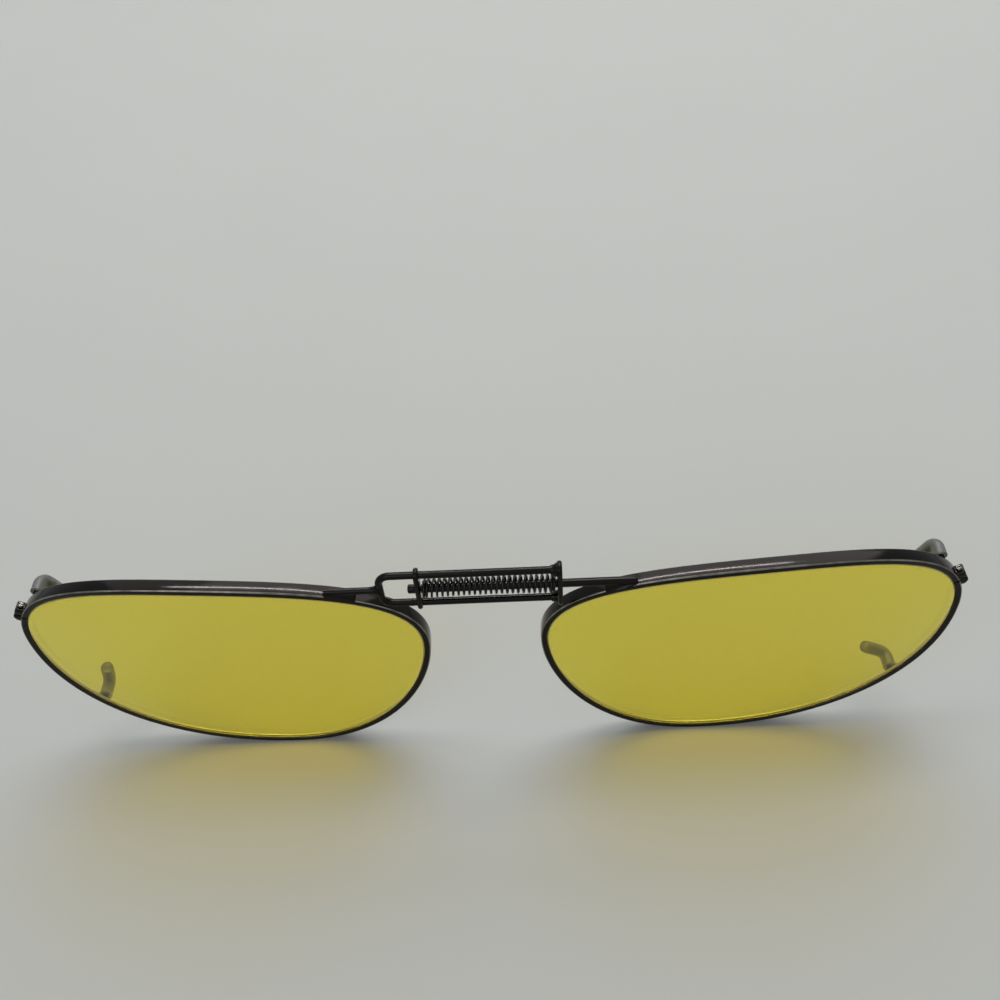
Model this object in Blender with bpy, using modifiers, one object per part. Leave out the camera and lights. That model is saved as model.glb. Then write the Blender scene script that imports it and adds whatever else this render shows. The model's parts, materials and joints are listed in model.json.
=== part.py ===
"""Clip-on tinted lenses with a spring bridge.

Two grooved metal rims hold tinted lenses. A wire loop brazed to the left rim carries two rails
and a fixed end plate. A pull rod brazed to the right rim runs through that plate and through a
coil spring to a slider plate that rides on the rails, so the spring draws the rims together.
Wire claws on the backs of the rims, in soft sleeves, grip what the clip is worn on.

Metres, +Z up, +X to the viewer's right, the front faces -Y. The origin lies halfway between the
rims, at the height of the lens centres and at the depth of the front of the lens curve.
"""

import math

import bmesh
import bpy
import numpy as np
from mathutils import Matrix, Vector
from mathutils.geometry import interpolate_bezier

# Eye shape, measured at the inner wall of the rim
EYE_WIDTH = 0.0542
EYE_HEIGHT = 0.0351
TOP_POINT_SHIFT = 0.0048
BOTTOM_POINT_SHIFT = -0.0060
NASAL_POINT_HEIGHT = 0.0045
TEMPORAL_POINT_HEIGHT = 0.0060
UPPER_TEMPORAL_FULLNESS = 0.69
UPPER_NASAL_FULLNESS = 0.65
NOSE_SIDE_FULLNESS = 0.32
CHEEK_FULLNESS = 0.71
LOWER_TEMPORAL_FULLNESS = 0.60
RIM_GAP = 0.0150

# Lens curve: one sphere per lens, its apex nearer the middle so that the outer sides wrap back
BASE_RADIUS = 0.150
APEX_INSET = 0.0055
LENS_THICKNESS = 0.0018
BLANK_MARGIN = 0.0015

# Rim section, with the V groove that holds the bevelled edge of the lens
LENS_RECESS = 0.0001
GROOVE_DEPTH = 0.00042
GROOVE_HALF_WIDTH = 0.00042
LENS_EDGE_CLEARANCE = 0.00008
BEVEL_ROOT = 0.0003
RIM_WALL = 0.00043
RIM_EDGE_CHAMFER = 0.00015
RIM_SEGMENTS = 88

# Clearance of brazed seats, where the real pieces are joined by a film of solder
SEAT_CLEARANCE = 0.00006
RUNNING_CLEARANCE = 0.00008

# Closing blocks and screw at the outer end of each rim
CLOSING_RISE = 0.0045
CLOSING_SLIT = 0.0002
BLOCK_LENGTH = 0.0011
BLOCK_REACH = 0.0010
BLOCK_ROOT = 0.0004
BLOCK_DEPTH = 0.0016
BLOCK_CHAMFER = 0.00014
BLOCK_SLOPE = 0.0005
SCREW_OUT = 0.00043
SCREW_RADIUS = 0.00026
SCREW_BITE = 0.0006
SCREW_HEAD_RADIUS = 0.00042
SCREW_HEAD_HEIGHT = 0.0004
SCREW_HEAD_CHAMFER = 0.0001
SCREW_SLOT_WIDTH = 0.00016
SCREW_SLOT_DEPTH = 0.00016

# Spring bridge
ROD_RADIUS = 0.00056
ROD_TENON_RADIUS = 0.00032
ROD_SEAT_INSET = 0.0111
ROD_FORWARD = 0.00055
ROD_OVERHANG = 0.0014
ROD_FOOT_LENGTH = 0.0040
ROD_FOOT_WIDTH = 0.0008
STEM_RADIUS = 0.00046
STEM_FOOT_LENGTH = 0.0040
STEM_FOOT_WIDTH = 0.0009
STEM_FLARE_RADIUS = 0.0009
STEM_FLARE_LENGTH = 0.0016
RAIL_RADIUS = 0.0005
RAIL_SPACING = 0.0055
LOOP_END_ROOM = 0.0041
LOOP_CORNER_RADIUS = 0.0015
LOOP_CORNER_SEGMENTS = 7
PLATE_THICKNESS = 0.00066
PLATE_EDGE_CHAMFER = 0.00014
FIXED_PLATE_INSET = 0.0028
FIXED_PLATE_END_RADIUS = 0.00115
FILLET_RADIUS = 0.00098
FILLET_LENGTH = 0.0008
FILLET_EDGE = 0.00008
SLIDER_INSET = 0.0003
SLIDER_END_RADIUS = 0.00095
HEAD_RADIUS = 0.0006
HEAD_LENGTH = 0.00095
HEAD_CAP = 0.0002
HEAD_CHAMFER = 0.00016

# Coil spring
SPRING_OUTER_RADIUS = 0.00124
SPRING_WIRE_RADIUS = 0.00016
SPRING_TURNS = 26
SPRING_CLOSED_TURNS = 1.5
SPRING_CLOSED_PITCH = 0.00035
SPRING_POINTS_PER_TURN = 10
SPRING_END_CLEARANCE = 0.0001

# Claws: wire hooks with clear sleeves on the backs of the rims
CLAW_RADIUS = 0.00042
CLAW_BEND_RADIUS = 0.0011
CLAW_REACH = 0.0028
UPPER_CLAW_INSET = 0.0036
LOWER_CLAW_INSET = 0.0064
CLAW_HOOK = 0.0019
SLEEVE_WALL = 0.0004
SLEEVE_BORE_CLEARANCE = 0.00006
SLEEVE_BASE_GAP = 0.0004
SLEEVE_TIP_LENGTH = 0.0011
CLAW_ARC_SEGMENTS = 6
TIP_ROUND_STEPS = 4

# Direction of each claw's tip in the lens plane, degrees from straight inboard towards up
CLAW_TIP_ANGLES = {
    ("left", "upper"): -60.0,
    ("left", "lower"): 80.0,
    ("right", "upper"): -60.0,
    ("right", "lower"): 25.0,
}

# Sizes that follow from those above
RIM_FACE = GROOVE_DEPTH + RIM_WALL
RIM_DEPTH = LENS_THICKNESS + 2.0 * LENS_RECESS
LENS_CENTRE_X = RIM_GAP / 2.0 + RIM_FACE + EYE_WIDTH / 2.0
APEX_X = LENS_CENTRE_X - APEX_INSET
RAIL_OFFSET = RAIL_SPACING / 2.0
SIDES = {"left": -1.0, "right": 1.0}

# How finely round shapes are divided, and how far apart points are welded
OUTLINE_STEPS = 60
LENS_RINGS = 8
LENS_TURN_STEPS = 48
ROUND_SIDES = 16
PLATE_END_STEPS = 8
SMOOTH_ANGLE = 35.0
WELD_DISTANCE = 1e-6
CUTTER_HALF_DEPTH = 0.015

PART_COLLECTION = "clip_on_lenses"
CUTTER_COLLECTION = "cutters"


# Scene and object helpers

def clear_scene():
    for item in list(bpy.data.objects):
        bpy.data.objects.remove(item, do_unlink=True)


def make_collection(name):
    collection = bpy.data.collections.new(name)
    bpy.context.scene.collection.children.link(collection)
    return collection


def make_material(name, colour, roughness, metallic, transmission=0.0, alpha=1.0):
    material = bpy.data.materials.new(name)
    material.use_nodes = True
    shader = material.node_tree.nodes["Principled BSDF"]
    shader.inputs["Base Color"].default_value = (*colour, 1.0)
    shader.inputs["Roughness"].default_value = roughness
    shader.inputs["Metallic"].default_value = metallic
    shader.inputs["Transmission Weight"].default_value = transmission
    shader.inputs["Alpha"].default_value = alpha
    return material


def link_part(name, mesh, material, matrix=None):
    item = bpy.data.objects.new(name, mesh)
    bpy.data.collections[PART_COLLECTION].objects.link(item)
    if matrix is not None:
        item.matrix_world = matrix
    mesh.materials.clear()
    mesh.materials.append(material)
    return item


def make_cutter(name, mesh, matrix=None):
    item = bpy.data.objects.new(name, mesh)
    bpy.data.collections[CUTTER_COLLECTION].objects.link(item)
    if matrix is not None:
        item.matrix_world = matrix
    item.hide_render = True
    item.display_type = "WIRE"
    return item


def boolean(item, other, operation):
    modifier = item.modifiers.new(operation.lower(), "BOOLEAN")
    modifier.operation = operation
    modifier.solver = "EXACT"
    modifier.object = other


def tidy_mesh(mesh):
    shape = bmesh.new()
    shape.from_mesh(mesh)
    bmesh.ops.remove_doubles(shape, verts=shape.verts, dist=WELD_DISTANCE)
    bmesh.ops.dissolve_degenerate(shape, edges=shape.edges, dist=WELD_DISTANCE)
    bmesh.ops.recalc_face_normals(shape, faces=shape.faces)
    shape.to_mesh(mesh)
    shape.free()
    return mesh


def shade(mesh):
    mesh.shade_smooth()
    mesh.set_sharp_from_angle(angle=math.radians(SMOOTH_ANGLE))
    return mesh


def curve_mesh(curve, name):
    """Mesh of a curve, with its caps welded on and its faces turned outwards."""
    holder = bpy.data.objects.new(name, curve)
    bpy.context.scene.collection.objects.link(holder)
    graph = bpy.context.evaluated_depsgraph_get()
    mesh = bpy.data.meshes.new_from_object(holder.evaluated_get(graph))
    bpy.data.objects.remove(holder, do_unlink=True)
    return tidy_mesh(mesh)


def path_curve(name, points, radii=None):
    curve = bpy.data.curves.new(name, "CURVE")
    curve.dimensions = "3D"
    curve.use_fill_caps = True
    spline = curve.splines.new("POLY")
    spline.points.add(len(points) - 1)
    for index, point in enumerate(points):
        spline.points[index].co = (*point, 1.0)
        if radii is not None:
            spline.points[index].radius = radii[index]
    return curve


def wire_mesh(name, points, radius, resolution=2, radii=None):
    curve = path_curve(name, points, radii)
    curve.bevel_depth = radius
    curve.bevel_resolution = resolution
    return curve_mesh(curve, name)


def flat_curve(name, outline, half_thickness, chamfer=0.0):
    """Plate of one closed outline, with its edges chamfered within that outline."""
    curve = bpy.data.curves.new(name, "CURVE")
    curve.dimensions = "2D"
    curve.fill_mode = "BOTH"
    curve.extrude = half_thickness - chamfer
    curve.bevel_depth = chamfer
    curve.bevel_resolution = 0
    curve.offset = -chamfer
    spline = curve.splines.new("POLY")
    spline.points.add(len(outline) - 1)
    for index, point in enumerate(outline):
        spline.points[index].co = (point[0], point[1], 0.0, 1.0)
    spline.use_cyclic_u = True
    return curve


def cone_mesh(name, base_radius, end_radius, length):
    """Cone or cylinder along local Z, centred on the origin, with its base at the lower end."""
    mesh = bpy.data.meshes.new(name)
    shape = bmesh.new()
    bmesh.ops.create_cone(shape, cap_ends=True, segments=ROUND_SIDES, radius1=base_radius,
                          radius2=end_radius, depth=length)
    shape.to_mesh(mesh)
    shape.free()
    return mesh


def box_mesh(name, size, chamfer=0.0, slope=0.0):
    """Box about the origin; a slope cuts the edge between its +X and -Z faces."""
    mesh = bpy.data.meshes.new(name)
    shape = bmesh.new()
    bmesh.ops.create_cube(shape, size=1.0)
    bmesh.ops.scale(shape, vec=size, verts=shape.verts)
    if slope > 0.0:
        edge = [e for e in shape.edges if all(v.co.x > 0.0 and v.co.z < 0.0 for v in e.verts)]
        bmesh.ops.bevel(shape, geom=edge, offset=slope, segments=1, affect="EDGES")
    if chamfer > 0.0:
        bmesh.ops.bevel(shape, geom=shape.edges[:], offset=chamfer, segments=1, affect="EDGES")
    shape.to_mesh(mesh)
    shape.free()
    return mesh


def turned_piece(name, profile, material, matrix, steps):
    """Piece turned about local Z from a profile that runs down its outer side."""
    mesh = bpy.data.meshes.new(name)
    mesh.from_pydata(profile, [(i, i + 1) for i in range(len(profile) - 1)], [])
    item = link_part(name, mesh, material, matrix)
    turn = item.modifiers.new("turn", "SCREW")
    turn.steps = steps
    turn.render_steps = steps
    turn.use_merge_vertices = True
    turn.merge_threshold = WELD_DISTANCE
    weld = item.modifiers.new("weld", "WELD")
    weld.merge_threshold = WELD_DISTANCE
    return item


# Frames that turn a local drawing into its place on the clip

FACE_FRAME = Matrix.Rotation(math.pi / 2.0, 4, "X")


def along_x(point):
    """Frame at a point whose local Z runs along world +X and local Y along world +Z."""
    turn = Matrix(((0.0, 0.0, 1.0), (1.0, 0.0, 0.0), (0.0, 1.0, 0.0))).to_4x4()
    return Matrix.Translation(point) @ turn


# Eye shape

def eye_outline(offset=0.0):
    """Closed outline of the right eye about its own centre, x outboard, moved outwards by offset."""
    half_width = EYE_WIDTH / 2.0
    half_height = EYE_HEIGHT / 2.0
    temporal = Vector((half_width, TEMPORAL_POINT_HEIGHT))
    top = Vector((TOP_POINT_SHIFT, half_height))
    nasal = Vector((-half_width, NASAL_POINT_HEIGHT))
    bottom = Vector((BOTTOM_POINT_SHIFT, -half_height))
    quarters = (
        (temporal, top, UPPER_TEMPORAL_FULLNESS, UPPER_TEMPORAL_FULLNESS, True),
        (top, nasal, UPPER_NASAL_FULLNESS, UPPER_NASAL_FULLNESS, False),
        (nasal, bottom, NOSE_SIDE_FULLNESS, CHEEK_FULLNESS, True),
        (bottom, temporal, LOWER_TEMPORAL_FULLNESS, LOWER_TEMPORAL_FULLNESS, False),
    )
    points = []
    for start, end, leaving, arriving, upright_first in quarters:
        across = Vector((end.x - start.x, 0.0))
        upright = Vector((0.0, end.y - start.y))
        first = start + leaving * (upright if upright_first else across)
        second = end - arriving * (across if upright_first else upright)
        points.extend(interpolate_bezier(start, first, second, end, OUTLINE_STEPS + 1)[:-1])
    outline = np.array([(p.x, p.y) for p in points])
    tangent = np.roll(outline, -1, axis=0) - np.roll(outline, 1, axis=0)
    tangent /= np.linalg.norm(tangent, axis=1)[:, None]
    normal = np.stack((tangent[:, 1], -tangent[:, 0]), axis=1)
    return outline + offset * normal


def resample(outline, count, start=0.0, trim=0.0, closed=True):
    """Points evenly spaced by length round a closed outline from a given length on."""
    ring = np.vstack((outline, outline[:1]))
    lengths = np.concatenate(([0.0], np.cumsum(np.linalg.norm(np.diff(ring, axis=0), axis=1))))
    total = lengths[-1]
    if closed:
        places = start + np.linspace(0.0, total, count, endpoint=False)
    else:
        places = start + np.linspace(trim, total - trim, count)
    places = np.mod(places, total)
    return np.stack([np.interp(places, lengths, ring[:, axis]) for axis in (0, 1)], axis=1)


def closing_place():
    """Length round the outline, point and tangent where the rim is slit for its closing screw."""
    outline = eye_outline()
    height = TEMPORAL_POINT_HEIGHT + CLOSING_RISE
    top_index = int(np.argmax(outline[:, 1]))
    index = int(np.searchsorted(outline[:top_index, 1], height))
    steps = np.linalg.norm(np.diff(outline[: index + 1], axis=0), axis=1)
    tangent = outline[index + 1] - outline[index - 1]
    tangent /= np.linalg.norm(tangent)
    return float(np.sum(steps)), outline[index], tangent


def outline_height(outline, x, upper):
    """Height of the upper or lower branch of an outline at a given x."""
    right = int(np.argmax(outline[:, 0]))
    rolled = np.roll(outline, -right, axis=0)
    left = int(np.argmin(rolled[:, 0]))
    branch = rolled[: left + 1] if upper else np.vstack((rolled[left:], rolled[:1]))
    order = np.argsort(branch[:, 0])
    return float(np.interp(x, branch[order, 0], branch[order, 1]))


def curve_depth(x, z):
    """How far back the middle of the lens lies at a place, x counted outboard from the clip's middle."""
    distance = math.hypot(x - APEX_X, z)
    return BASE_RADIUS - math.sqrt(BASE_RADIUS ** 2 - distance ** 2)


def place(side, point, depth=0.0):
    """World point from an outline point about the eye centre, on the lens curve moved back by depth."""
    x = LENS_CENTRE_X + point[0]
    return Vector((SIDES[side] * x, curve_depth(x, point[1]) + depth, point[1]))


# Rims and lenses

def rim_section():
    """Section of the rim: x outwards from the inner wall, y through its depth."""
    half_depth = RIM_DEPTH / 2.0
    cut = RIM_EDGE_CHAMFER
    return [
        (0.0, half_depth),
        (RIM_FACE - cut, half_depth),
        (RIM_FACE, half_depth - cut),
        (RIM_FACE, cut - half_depth),
        (RIM_FACE - cut, -half_depth),
        (0.0, -half_depth),
        (0.0, -GROOVE_HALF_WIDTH),
        (GROOVE_DEPTH, 0.0),
        (0.0, GROOVE_HALF_WIDTH),
    ]


def bevel_section():
    """Section of the ridge on the lens edge, parallel to the groove and rooted inside the lens."""
    flank_shift = LENS_EDGE_CLEARANCE * math.hypot(GROOVE_DEPTH, GROOVE_HALF_WIDTH) / GROOVE_HALF_WIDTH
    crest = GROOVE_DEPTH - flank_shift
    root = -(LENS_EDGE_CLEARANCE + BEVEL_ROOT)
    half_width = (crest - root) * GROOVE_HALF_WIDTH / GROOVE_DEPTH
    return [(crest, 0.0), (root, half_width), (root, -half_width)]


def swept_mesh(name, section, side, outline, closed):
    """A section swept round an outline on the lens curve, drawn to be stood up by FACE_FRAME."""
    profile = flat_curve(name + "_section", section, 0.0)
    profile.fill_mode = "NONE"
    holder = bpy.data.objects.new(name + "_section", profile)
    bpy.context.scene.collection.objects.link(holder)
    if side == "left":
        outline = outline[::-1]
    curve = path_curve(name, [FACE_FRAME.inverted() @ place(side, point) for point in outline])
    curve.splines[0].use_cyclic_u = closed
    curve.twist_mode = "Z_UP"
    curve.bevel_mode = "OBJECT"
    curve.bevel_object = holder
    mesh = curve_mesh(curve, name)
    bpy.data.objects.remove(holder, do_unlink=True)
    return mesh


def make_rim(side, material):
    """The grooved section swept round the eye shape, open at the closing slit."""
    name = side + "_rim"
    start, _, _ = closing_place()
    outline = resample(eye_outline(), RIM_SEGMENTS, start, CLOSING_SLIT / 2.0, closed=False)
    mesh = swept_mesh(name, rim_section(), side, outline, False)
    return link_part(name, shade(mesh), material, FACE_FRAME)


def outline_cutter(side, outline, name):
    """Straight-sided cutter of an outline about the eye centre, deeper than the wrap of the rims."""
    places = resample(outline, RIM_SEGMENTS)
    places[:, 0] = SIDES[side] * (places[:, 0] + LENS_CENTRE_X)
    mesh = curve_mesh(flat_curve(name, places, CUTTER_HALF_DEPTH), name)
    return make_cutter(name, mesh, FACE_FRAME)


def make_lens(side, material):
    """A round meniscus blank, turned about the apex of its curve, edged to the eye shape and bevelled."""
    name = side + "_lens"
    edge = eye_outline(-LENS_EDGE_CLEARANCE)
    apex = np.array((-APEX_INSET, 0.0))
    blank_radius = float(np.max(np.linalg.norm(edge - apex, axis=1))) + BLANK_MARGIN
    rings = np.linspace(0.0, blank_radius, LENS_RINGS)
    profile = []
    for radius, distances in ((BASE_RADIUS + LENS_THICKNESS / 2.0, rings),
                              (BASE_RADIUS - LENS_THICKNESS / 2.0, rings[::-1])):
        for distance in distances:
            profile.append((distance, 0.0, math.sqrt(radius ** 2 - distance ** 2) - BASE_RADIUS))
    apex_place = Matrix.Translation((SIDES[side] * APEX_X, 0.0, 0.0))
    item = turned_piece(name, profile, material, apex_place @ FACE_FRAME, LENS_TURN_STEPS)
    boolean(item, outline_cutter(side, edge, name + "_edge"), "INTERSECT")
    bevel = swept_mesh(name + "_bevel", bevel_section(), side, resample(eye_outline(), RIM_SEGMENTS), True)
    boolean(item, make_cutter(name + "_bevel", bevel, FACE_FRAME), "UNION")
    return item


# Closing blocks and screws

def closing_frame(side):
    """Frame at the slit: local Z up along the rim, local X out from it, local Y towards the back."""
    _, point, tangent = closing_place()
    centre = place(side, point)
    up = Vector((SIDES[side] * tangent[0], 0.0, tangent[1]))
    out = Vector((SIDES[side] * tangent[1], 0.0, -tangent[0]))
    back = up.cross(out)
    turn = Matrix((out, back, up)).transposed().to_4x4()
    return Matrix.Translation(centre) @ turn


def make_closing(side, block_material, screw_material):
    """Two blocks brazed to the rim on either side of its slit, shaped to it, and the screw that joins them."""
    frame = closing_frame(side)
    hole_radius = SCREW_RADIUS + SEAT_CLEARANCE
    screw_x = RIM_FACE + SCREW_OUT
    inner_face = CLOSING_SLIT / 2.0
    hole_end = -(inner_face + SCREW_BITE + SEAT_CLEARANCE)
    hole_length = 2.0 * BLOCK_LENGTH
    hole_place = frame @ Matrix.Translation((screw_x, 0.0, hole_end + hole_length / 2.0))
    for label, sign, slope in (("upper", 1.0, 0.0), ("lower", -1.0, BLOCK_SLOPE)):
        name = f"{side}_closing_block_{label}"
        middle = Vector((RIM_FACE + (BLOCK_REACH - BLOCK_ROOT) / 2.0, 0.0,
                         sign * (inner_face + BLOCK_LENGTH / 2.0)))
        mesh = box_mesh(name, (BLOCK_REACH + BLOCK_ROOT, BLOCK_DEPTH, BLOCK_LENGTH), BLOCK_CHAMFER, slope)
        block = link_part(name, mesh, block_material, frame @ Matrix.Translation(middle))
        hole = cone_mesh(name + "_hole", hole_radius, hole_radius, hole_length)
        boolean(block, make_cutter(name + "_hole", hole, hole_place), "DIFFERENCE")
        keepout = eye_outline(RIM_FACE + SEAT_CLEARANCE)
        boolean(block, outline_cutter(side, keepout, name + "_rim_keepout"), "DIFFERENCE")
    name = side + "_closing_screw"
    top = inner_face + BLOCK_LENGTH + SEAT_CLEARANCE
    shank_end = -(inner_face + SCREW_BITE)
    profile = [
        (0.0, 0.0, top + SCREW_HEAD_HEIGHT),
        (SCREW_HEAD_RADIUS - SCREW_HEAD_CHAMFER, 0.0, top + SCREW_HEAD_HEIGHT),
        (SCREW_HEAD_RADIUS, 0.0, top + SCREW_HEAD_HEIGHT - SCREW_HEAD_CHAMFER),
        (SCREW_HEAD_RADIUS, 0.0, top),
        (SCREW_RADIUS, 0.0, top),
        (SCREW_RADIUS, 0.0, shank_end),
        (0.0, 0.0, shank_end),
    ]
    screw_frame = frame @ Matrix.Translation((screw_x, 0.0, 0.0))
    screw = turned_piece(name, profile, screw_material, screw_frame, ROUND_SIDES)
    slot = box_mesh(name + "_slot", (4.0 * SCREW_HEAD_RADIUS, SCREW_SLOT_WIDTH, 2.0 * SCREW_SLOT_DEPTH))
    slot_place = screw_frame @ Matrix.Translation((0.0, 0.0, top + SCREW_HEAD_HEIGHT))
    boolean(screw, make_cutter(name + "_slot", slot, slot_place), "DIFFERENCE")


# Claws

def claw_path(side, level):
    """Base point, path of the wire and unit direction of the tip for one claw."""
    upper = level == "upper"
    inset = UPPER_CLAW_INSET if upper else LOWER_CLAW_INSET
    x = EYE_WIDTH / 2.0 + RIM_FACE - inset
    middle = eye_outline(RIM_FACE / 2.0)
    point = (x, outline_height(middle, x, upper))
    base = place(side, point, RIM_DEPTH / 2.0 + SEAT_CLEARANCE)
    angle = math.radians(CLAW_TIP_ANGLES[(side, level)])
    tip = Vector((-SIDES[side] * math.cos(angle), 0.0, math.sin(angle)))
    back = Vector((0.0, 1.0, 0.0))
    corner = base + back * (CLAW_REACH - CLAW_BEND_RADIUS)
    centre = corner + tip * CLAW_BEND_RADIUS
    path = [base]
    for step in range(CLAW_ARC_SEGMENTS + 1):
        turn = 0.5 * math.pi * step / CLAW_ARC_SEGMENTS
        path.append(centre + CLAW_BEND_RADIUS * (back * math.sin(turn) - tip * math.cos(turn)))
    path.append(path[-1] + tip * CLAW_HOOK)
    return path, tip


def make_claw(side, level, wire_material, sleeve_material):
    name = f"{side}_{level}_claw"
    path, tip = claw_path(side, level)
    link_part(name, shade(wire_mesh(name, path, CLAW_RADIUS)), wire_material)
    bore_radius = CLAW_RADIUS + SLEEVE_BORE_CLEARANCE
    outer_radius = bore_radius + SLEEVE_WALL
    start = path[0] + Vector((0.0, SLEEVE_BASE_GAP, 0.0))
    end = path[-1] + tip * (SLEEVE_TIP_LENGTH - outer_radius)
    points = [start] + path[1:] + [end]
    radii = [1.0] * len(points)
    for step in range(1, TIP_ROUND_STEPS + 1):
        turn = 0.5 * math.pi * step / (TIP_ROUND_STEPS + 0.5)
        points.append(end + tip * outer_radius * math.sin(turn))
        radii.append(math.cos(turn))
    sleeve = link_part(name + "_sleeve", shade(wire_mesh(name + "_sleeve", points, outer_radius, 2, radii)),
                       sleeve_material)
    bore_path = [path[0]] + path[1:-1] + [path[-1] + tip * SLEEVE_BORE_CLEARANCE]
    bore = wire_mesh(name + "_bore", bore_path, bore_radius)
    boolean(sleeve, make_cutter(name + "_bore", bore), "DIFFERENCE")


# Spring bridge

def bridge_places():
    """Places along the bridge, worked out from the rims that carry it."""
    outer = eye_outline(RIM_FACE)
    seat_x = RIM_GAP / 2.0 + ROD_SEAT_INSET
    seat_z = outline_height(outer, seat_x - LENS_CENTRE_X, True)
    axis_z = seat_z + max(ROD_RADIUS, STEM_RADIUS) + SEAT_CLEARANCE
    axis_y = curve_depth(seat_x, seat_z) - ROD_FORWARD
    fixed_x = RIM_GAP / 2.0 + FIXED_PLATE_INSET
    slider_x = -(RIM_GAP / 2.0 + SLIDER_INSET)
    loop_x = slider_x - PLATE_THICKNESS / 2.0 - LOOP_END_ROOM - RAIL_RADIUS
    return {
        "axis_y": axis_y,
        "axis_z": axis_z,
        "end_x": seat_x + ROD_OVERHANG,
        "fixed_x": fixed_x,
        "slider_x": slider_x,
        "loop_x": loop_x,
    }


def seated_bar(name, profile, material, foot_length, foot_width, side, bridge):
    """Turned bar along the bridge whose outer end stands on the rim by a brazed foot."""
    matrix = along_x(Vector((0.0, bridge["axis_y"], bridge["axis_z"])))
    item = turned_piece(name, profile, material, matrix, ROUND_SIDES)
    foot_middle = Vector((SIDES[side] * (bridge["end_x"] - foot_length / 2.0), bridge["axis_y"],
                          bridge["axis_z"] / 2.0))
    foot = box_mesh(name + "_foot", (foot_length - 2.0 * SEAT_CLEARANCE, foot_width, bridge["axis_z"]))
    boolean(item, make_cutter(name + "_foot", foot, Matrix.Translation(foot_middle)), "UNION")
    keepout = eye_outline(RIM_FACE + SEAT_CLEARANCE)
    boolean(item, outline_cutter(side, keepout, name + "_rim_keepout"), "DIFFERENCE")
    return item


def loop_points(bridge):
    """Path of the guide loop: along the upper rail, round the closed end, back along the lower rail."""
    y = bridge["axis_y"]
    z = bridge["axis_z"]
    end_x = bridge["fixed_x"] + PLATE_THICKNESS / 2.0
    corner_x = bridge["loop_x"] + LOOP_CORNER_RADIUS
    points = [Vector((end_x, y, z + RAIL_OFFSET))]
    for sign, first in ((1.0, 0.5), (-1.0, 1.0)):
        corner_z = z + sign * (RAIL_OFFSET - LOOP_CORNER_RADIUS)
        for step in range(LOOP_CORNER_SEGMENTS + 1):
            turn = math.pi * (first + 0.5 * step / LOOP_CORNER_SEGMENTS)
            points.append(Vector((corner_x + LOOP_CORNER_RADIUS * math.cos(turn), y,
                                  corner_z + LOOP_CORNER_RADIUS * math.sin(turn))))
    points.append(Vector((end_x, y, z - RAIL_OFFSET)))
    return points


def make_plate(name, x, end_radius, rail_clearance, rod_hole, material, bridge):
    """Upright plate with round ends, pierced for both rails and for the rod."""
    outline = []
    for sign, first in ((1.0, 0.0), (-1.0, math.pi)):
        angles = np.linspace(first, first + math.pi, PLATE_END_STEPS + 1)
        outline.extend((end_radius * math.cos(a), sign * RAIL_OFFSET + end_radius * math.sin(a)) for a in angles)
    mesh = curve_mesh(flat_curve(name, outline, PLATE_THICKNESS / 2.0, PLATE_EDGE_CHAMFER), name)
    frame = along_x(Vector((x, bridge["axis_y"], bridge["axis_z"])))
    plate = link_part(name, mesh, material, frame)
    if name == "fixed_end_plate":
        add_fillets(plate, frame)
    holes = ((RAIL_OFFSET, RAIL_RADIUS + rail_clearance), (0.0, rod_hole),
             (-RAIL_OFFSET, RAIL_RADIUS + rail_clearance))
    for number, (height, radius) in enumerate(holes):
        label = f"{name}_hole_{number}"
        hole = cone_mesh(label, radius, radius, 2.0 * (PLATE_THICKNESS + FILLET_LENGTH))
        boolean(plate, make_cutter(label, hole, frame @ Matrix.Translation((0.0, height, 0.0))), "DIFFERENCE")
    return plate


def add_fillets(plate, frame):
    """Cones of solder round both rails, on the side of the plate that faces the spring."""
    end_radius = RAIL_RADIUS + SEAT_CLEARANCE + FILLET_EDGE
    length = FILLET_LENGTH + PLATE_THICKNESS / 2.0
    for label, height in (("upper", RAIL_OFFSET), ("lower", -RAIL_OFFSET)):
        name = f"{plate.name}_{label}_fillet"
        cone = cone_mesh(name, end_radius, FILLET_RADIUS, length)
        cone_place = frame @ Matrix.Translation((0.0, height, -length / 2.0))
        boolean(plate, make_cutter(name, cone, cone_place), "UNION")


def spring_points(bridge):
    """Coil round the rod between the slider plate and the fixed plate, closed at both ends."""
    start = bridge["slider_x"] + PLATE_THICKNESS / 2.0 + SPRING_END_CLEARANCE + SPRING_WIRE_RADIUS
    end = bridge["fixed_x"] - PLATE_THICKNESS / 2.0 - SPRING_END_CLEARANCE - SPRING_WIRE_RADIUS
    closed_length = SPRING_CLOSED_TURNS * SPRING_CLOSED_PITCH
    turns = [0.0, SPRING_CLOSED_TURNS, SPRING_TURNS - SPRING_CLOSED_TURNS, SPRING_TURNS]
    places = [start, start + closed_length, end - closed_length, end]
    mean_radius = SPRING_OUTER_RADIUS - SPRING_WIRE_RADIUS
    points = []
    for step in range(SPRING_TURNS * SPRING_POINTS_PER_TURN + 1):
        turn = step / SPRING_POINTS_PER_TURN
        angle = 2.0 * math.pi * turn
        points.append(Vector((float(np.interp(turn, turns, places)),
                              bridge["axis_y"] + mean_radius * math.cos(angle),
                              bridge["axis_z"] + mean_radius * math.sin(angle))))
    return points


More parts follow.
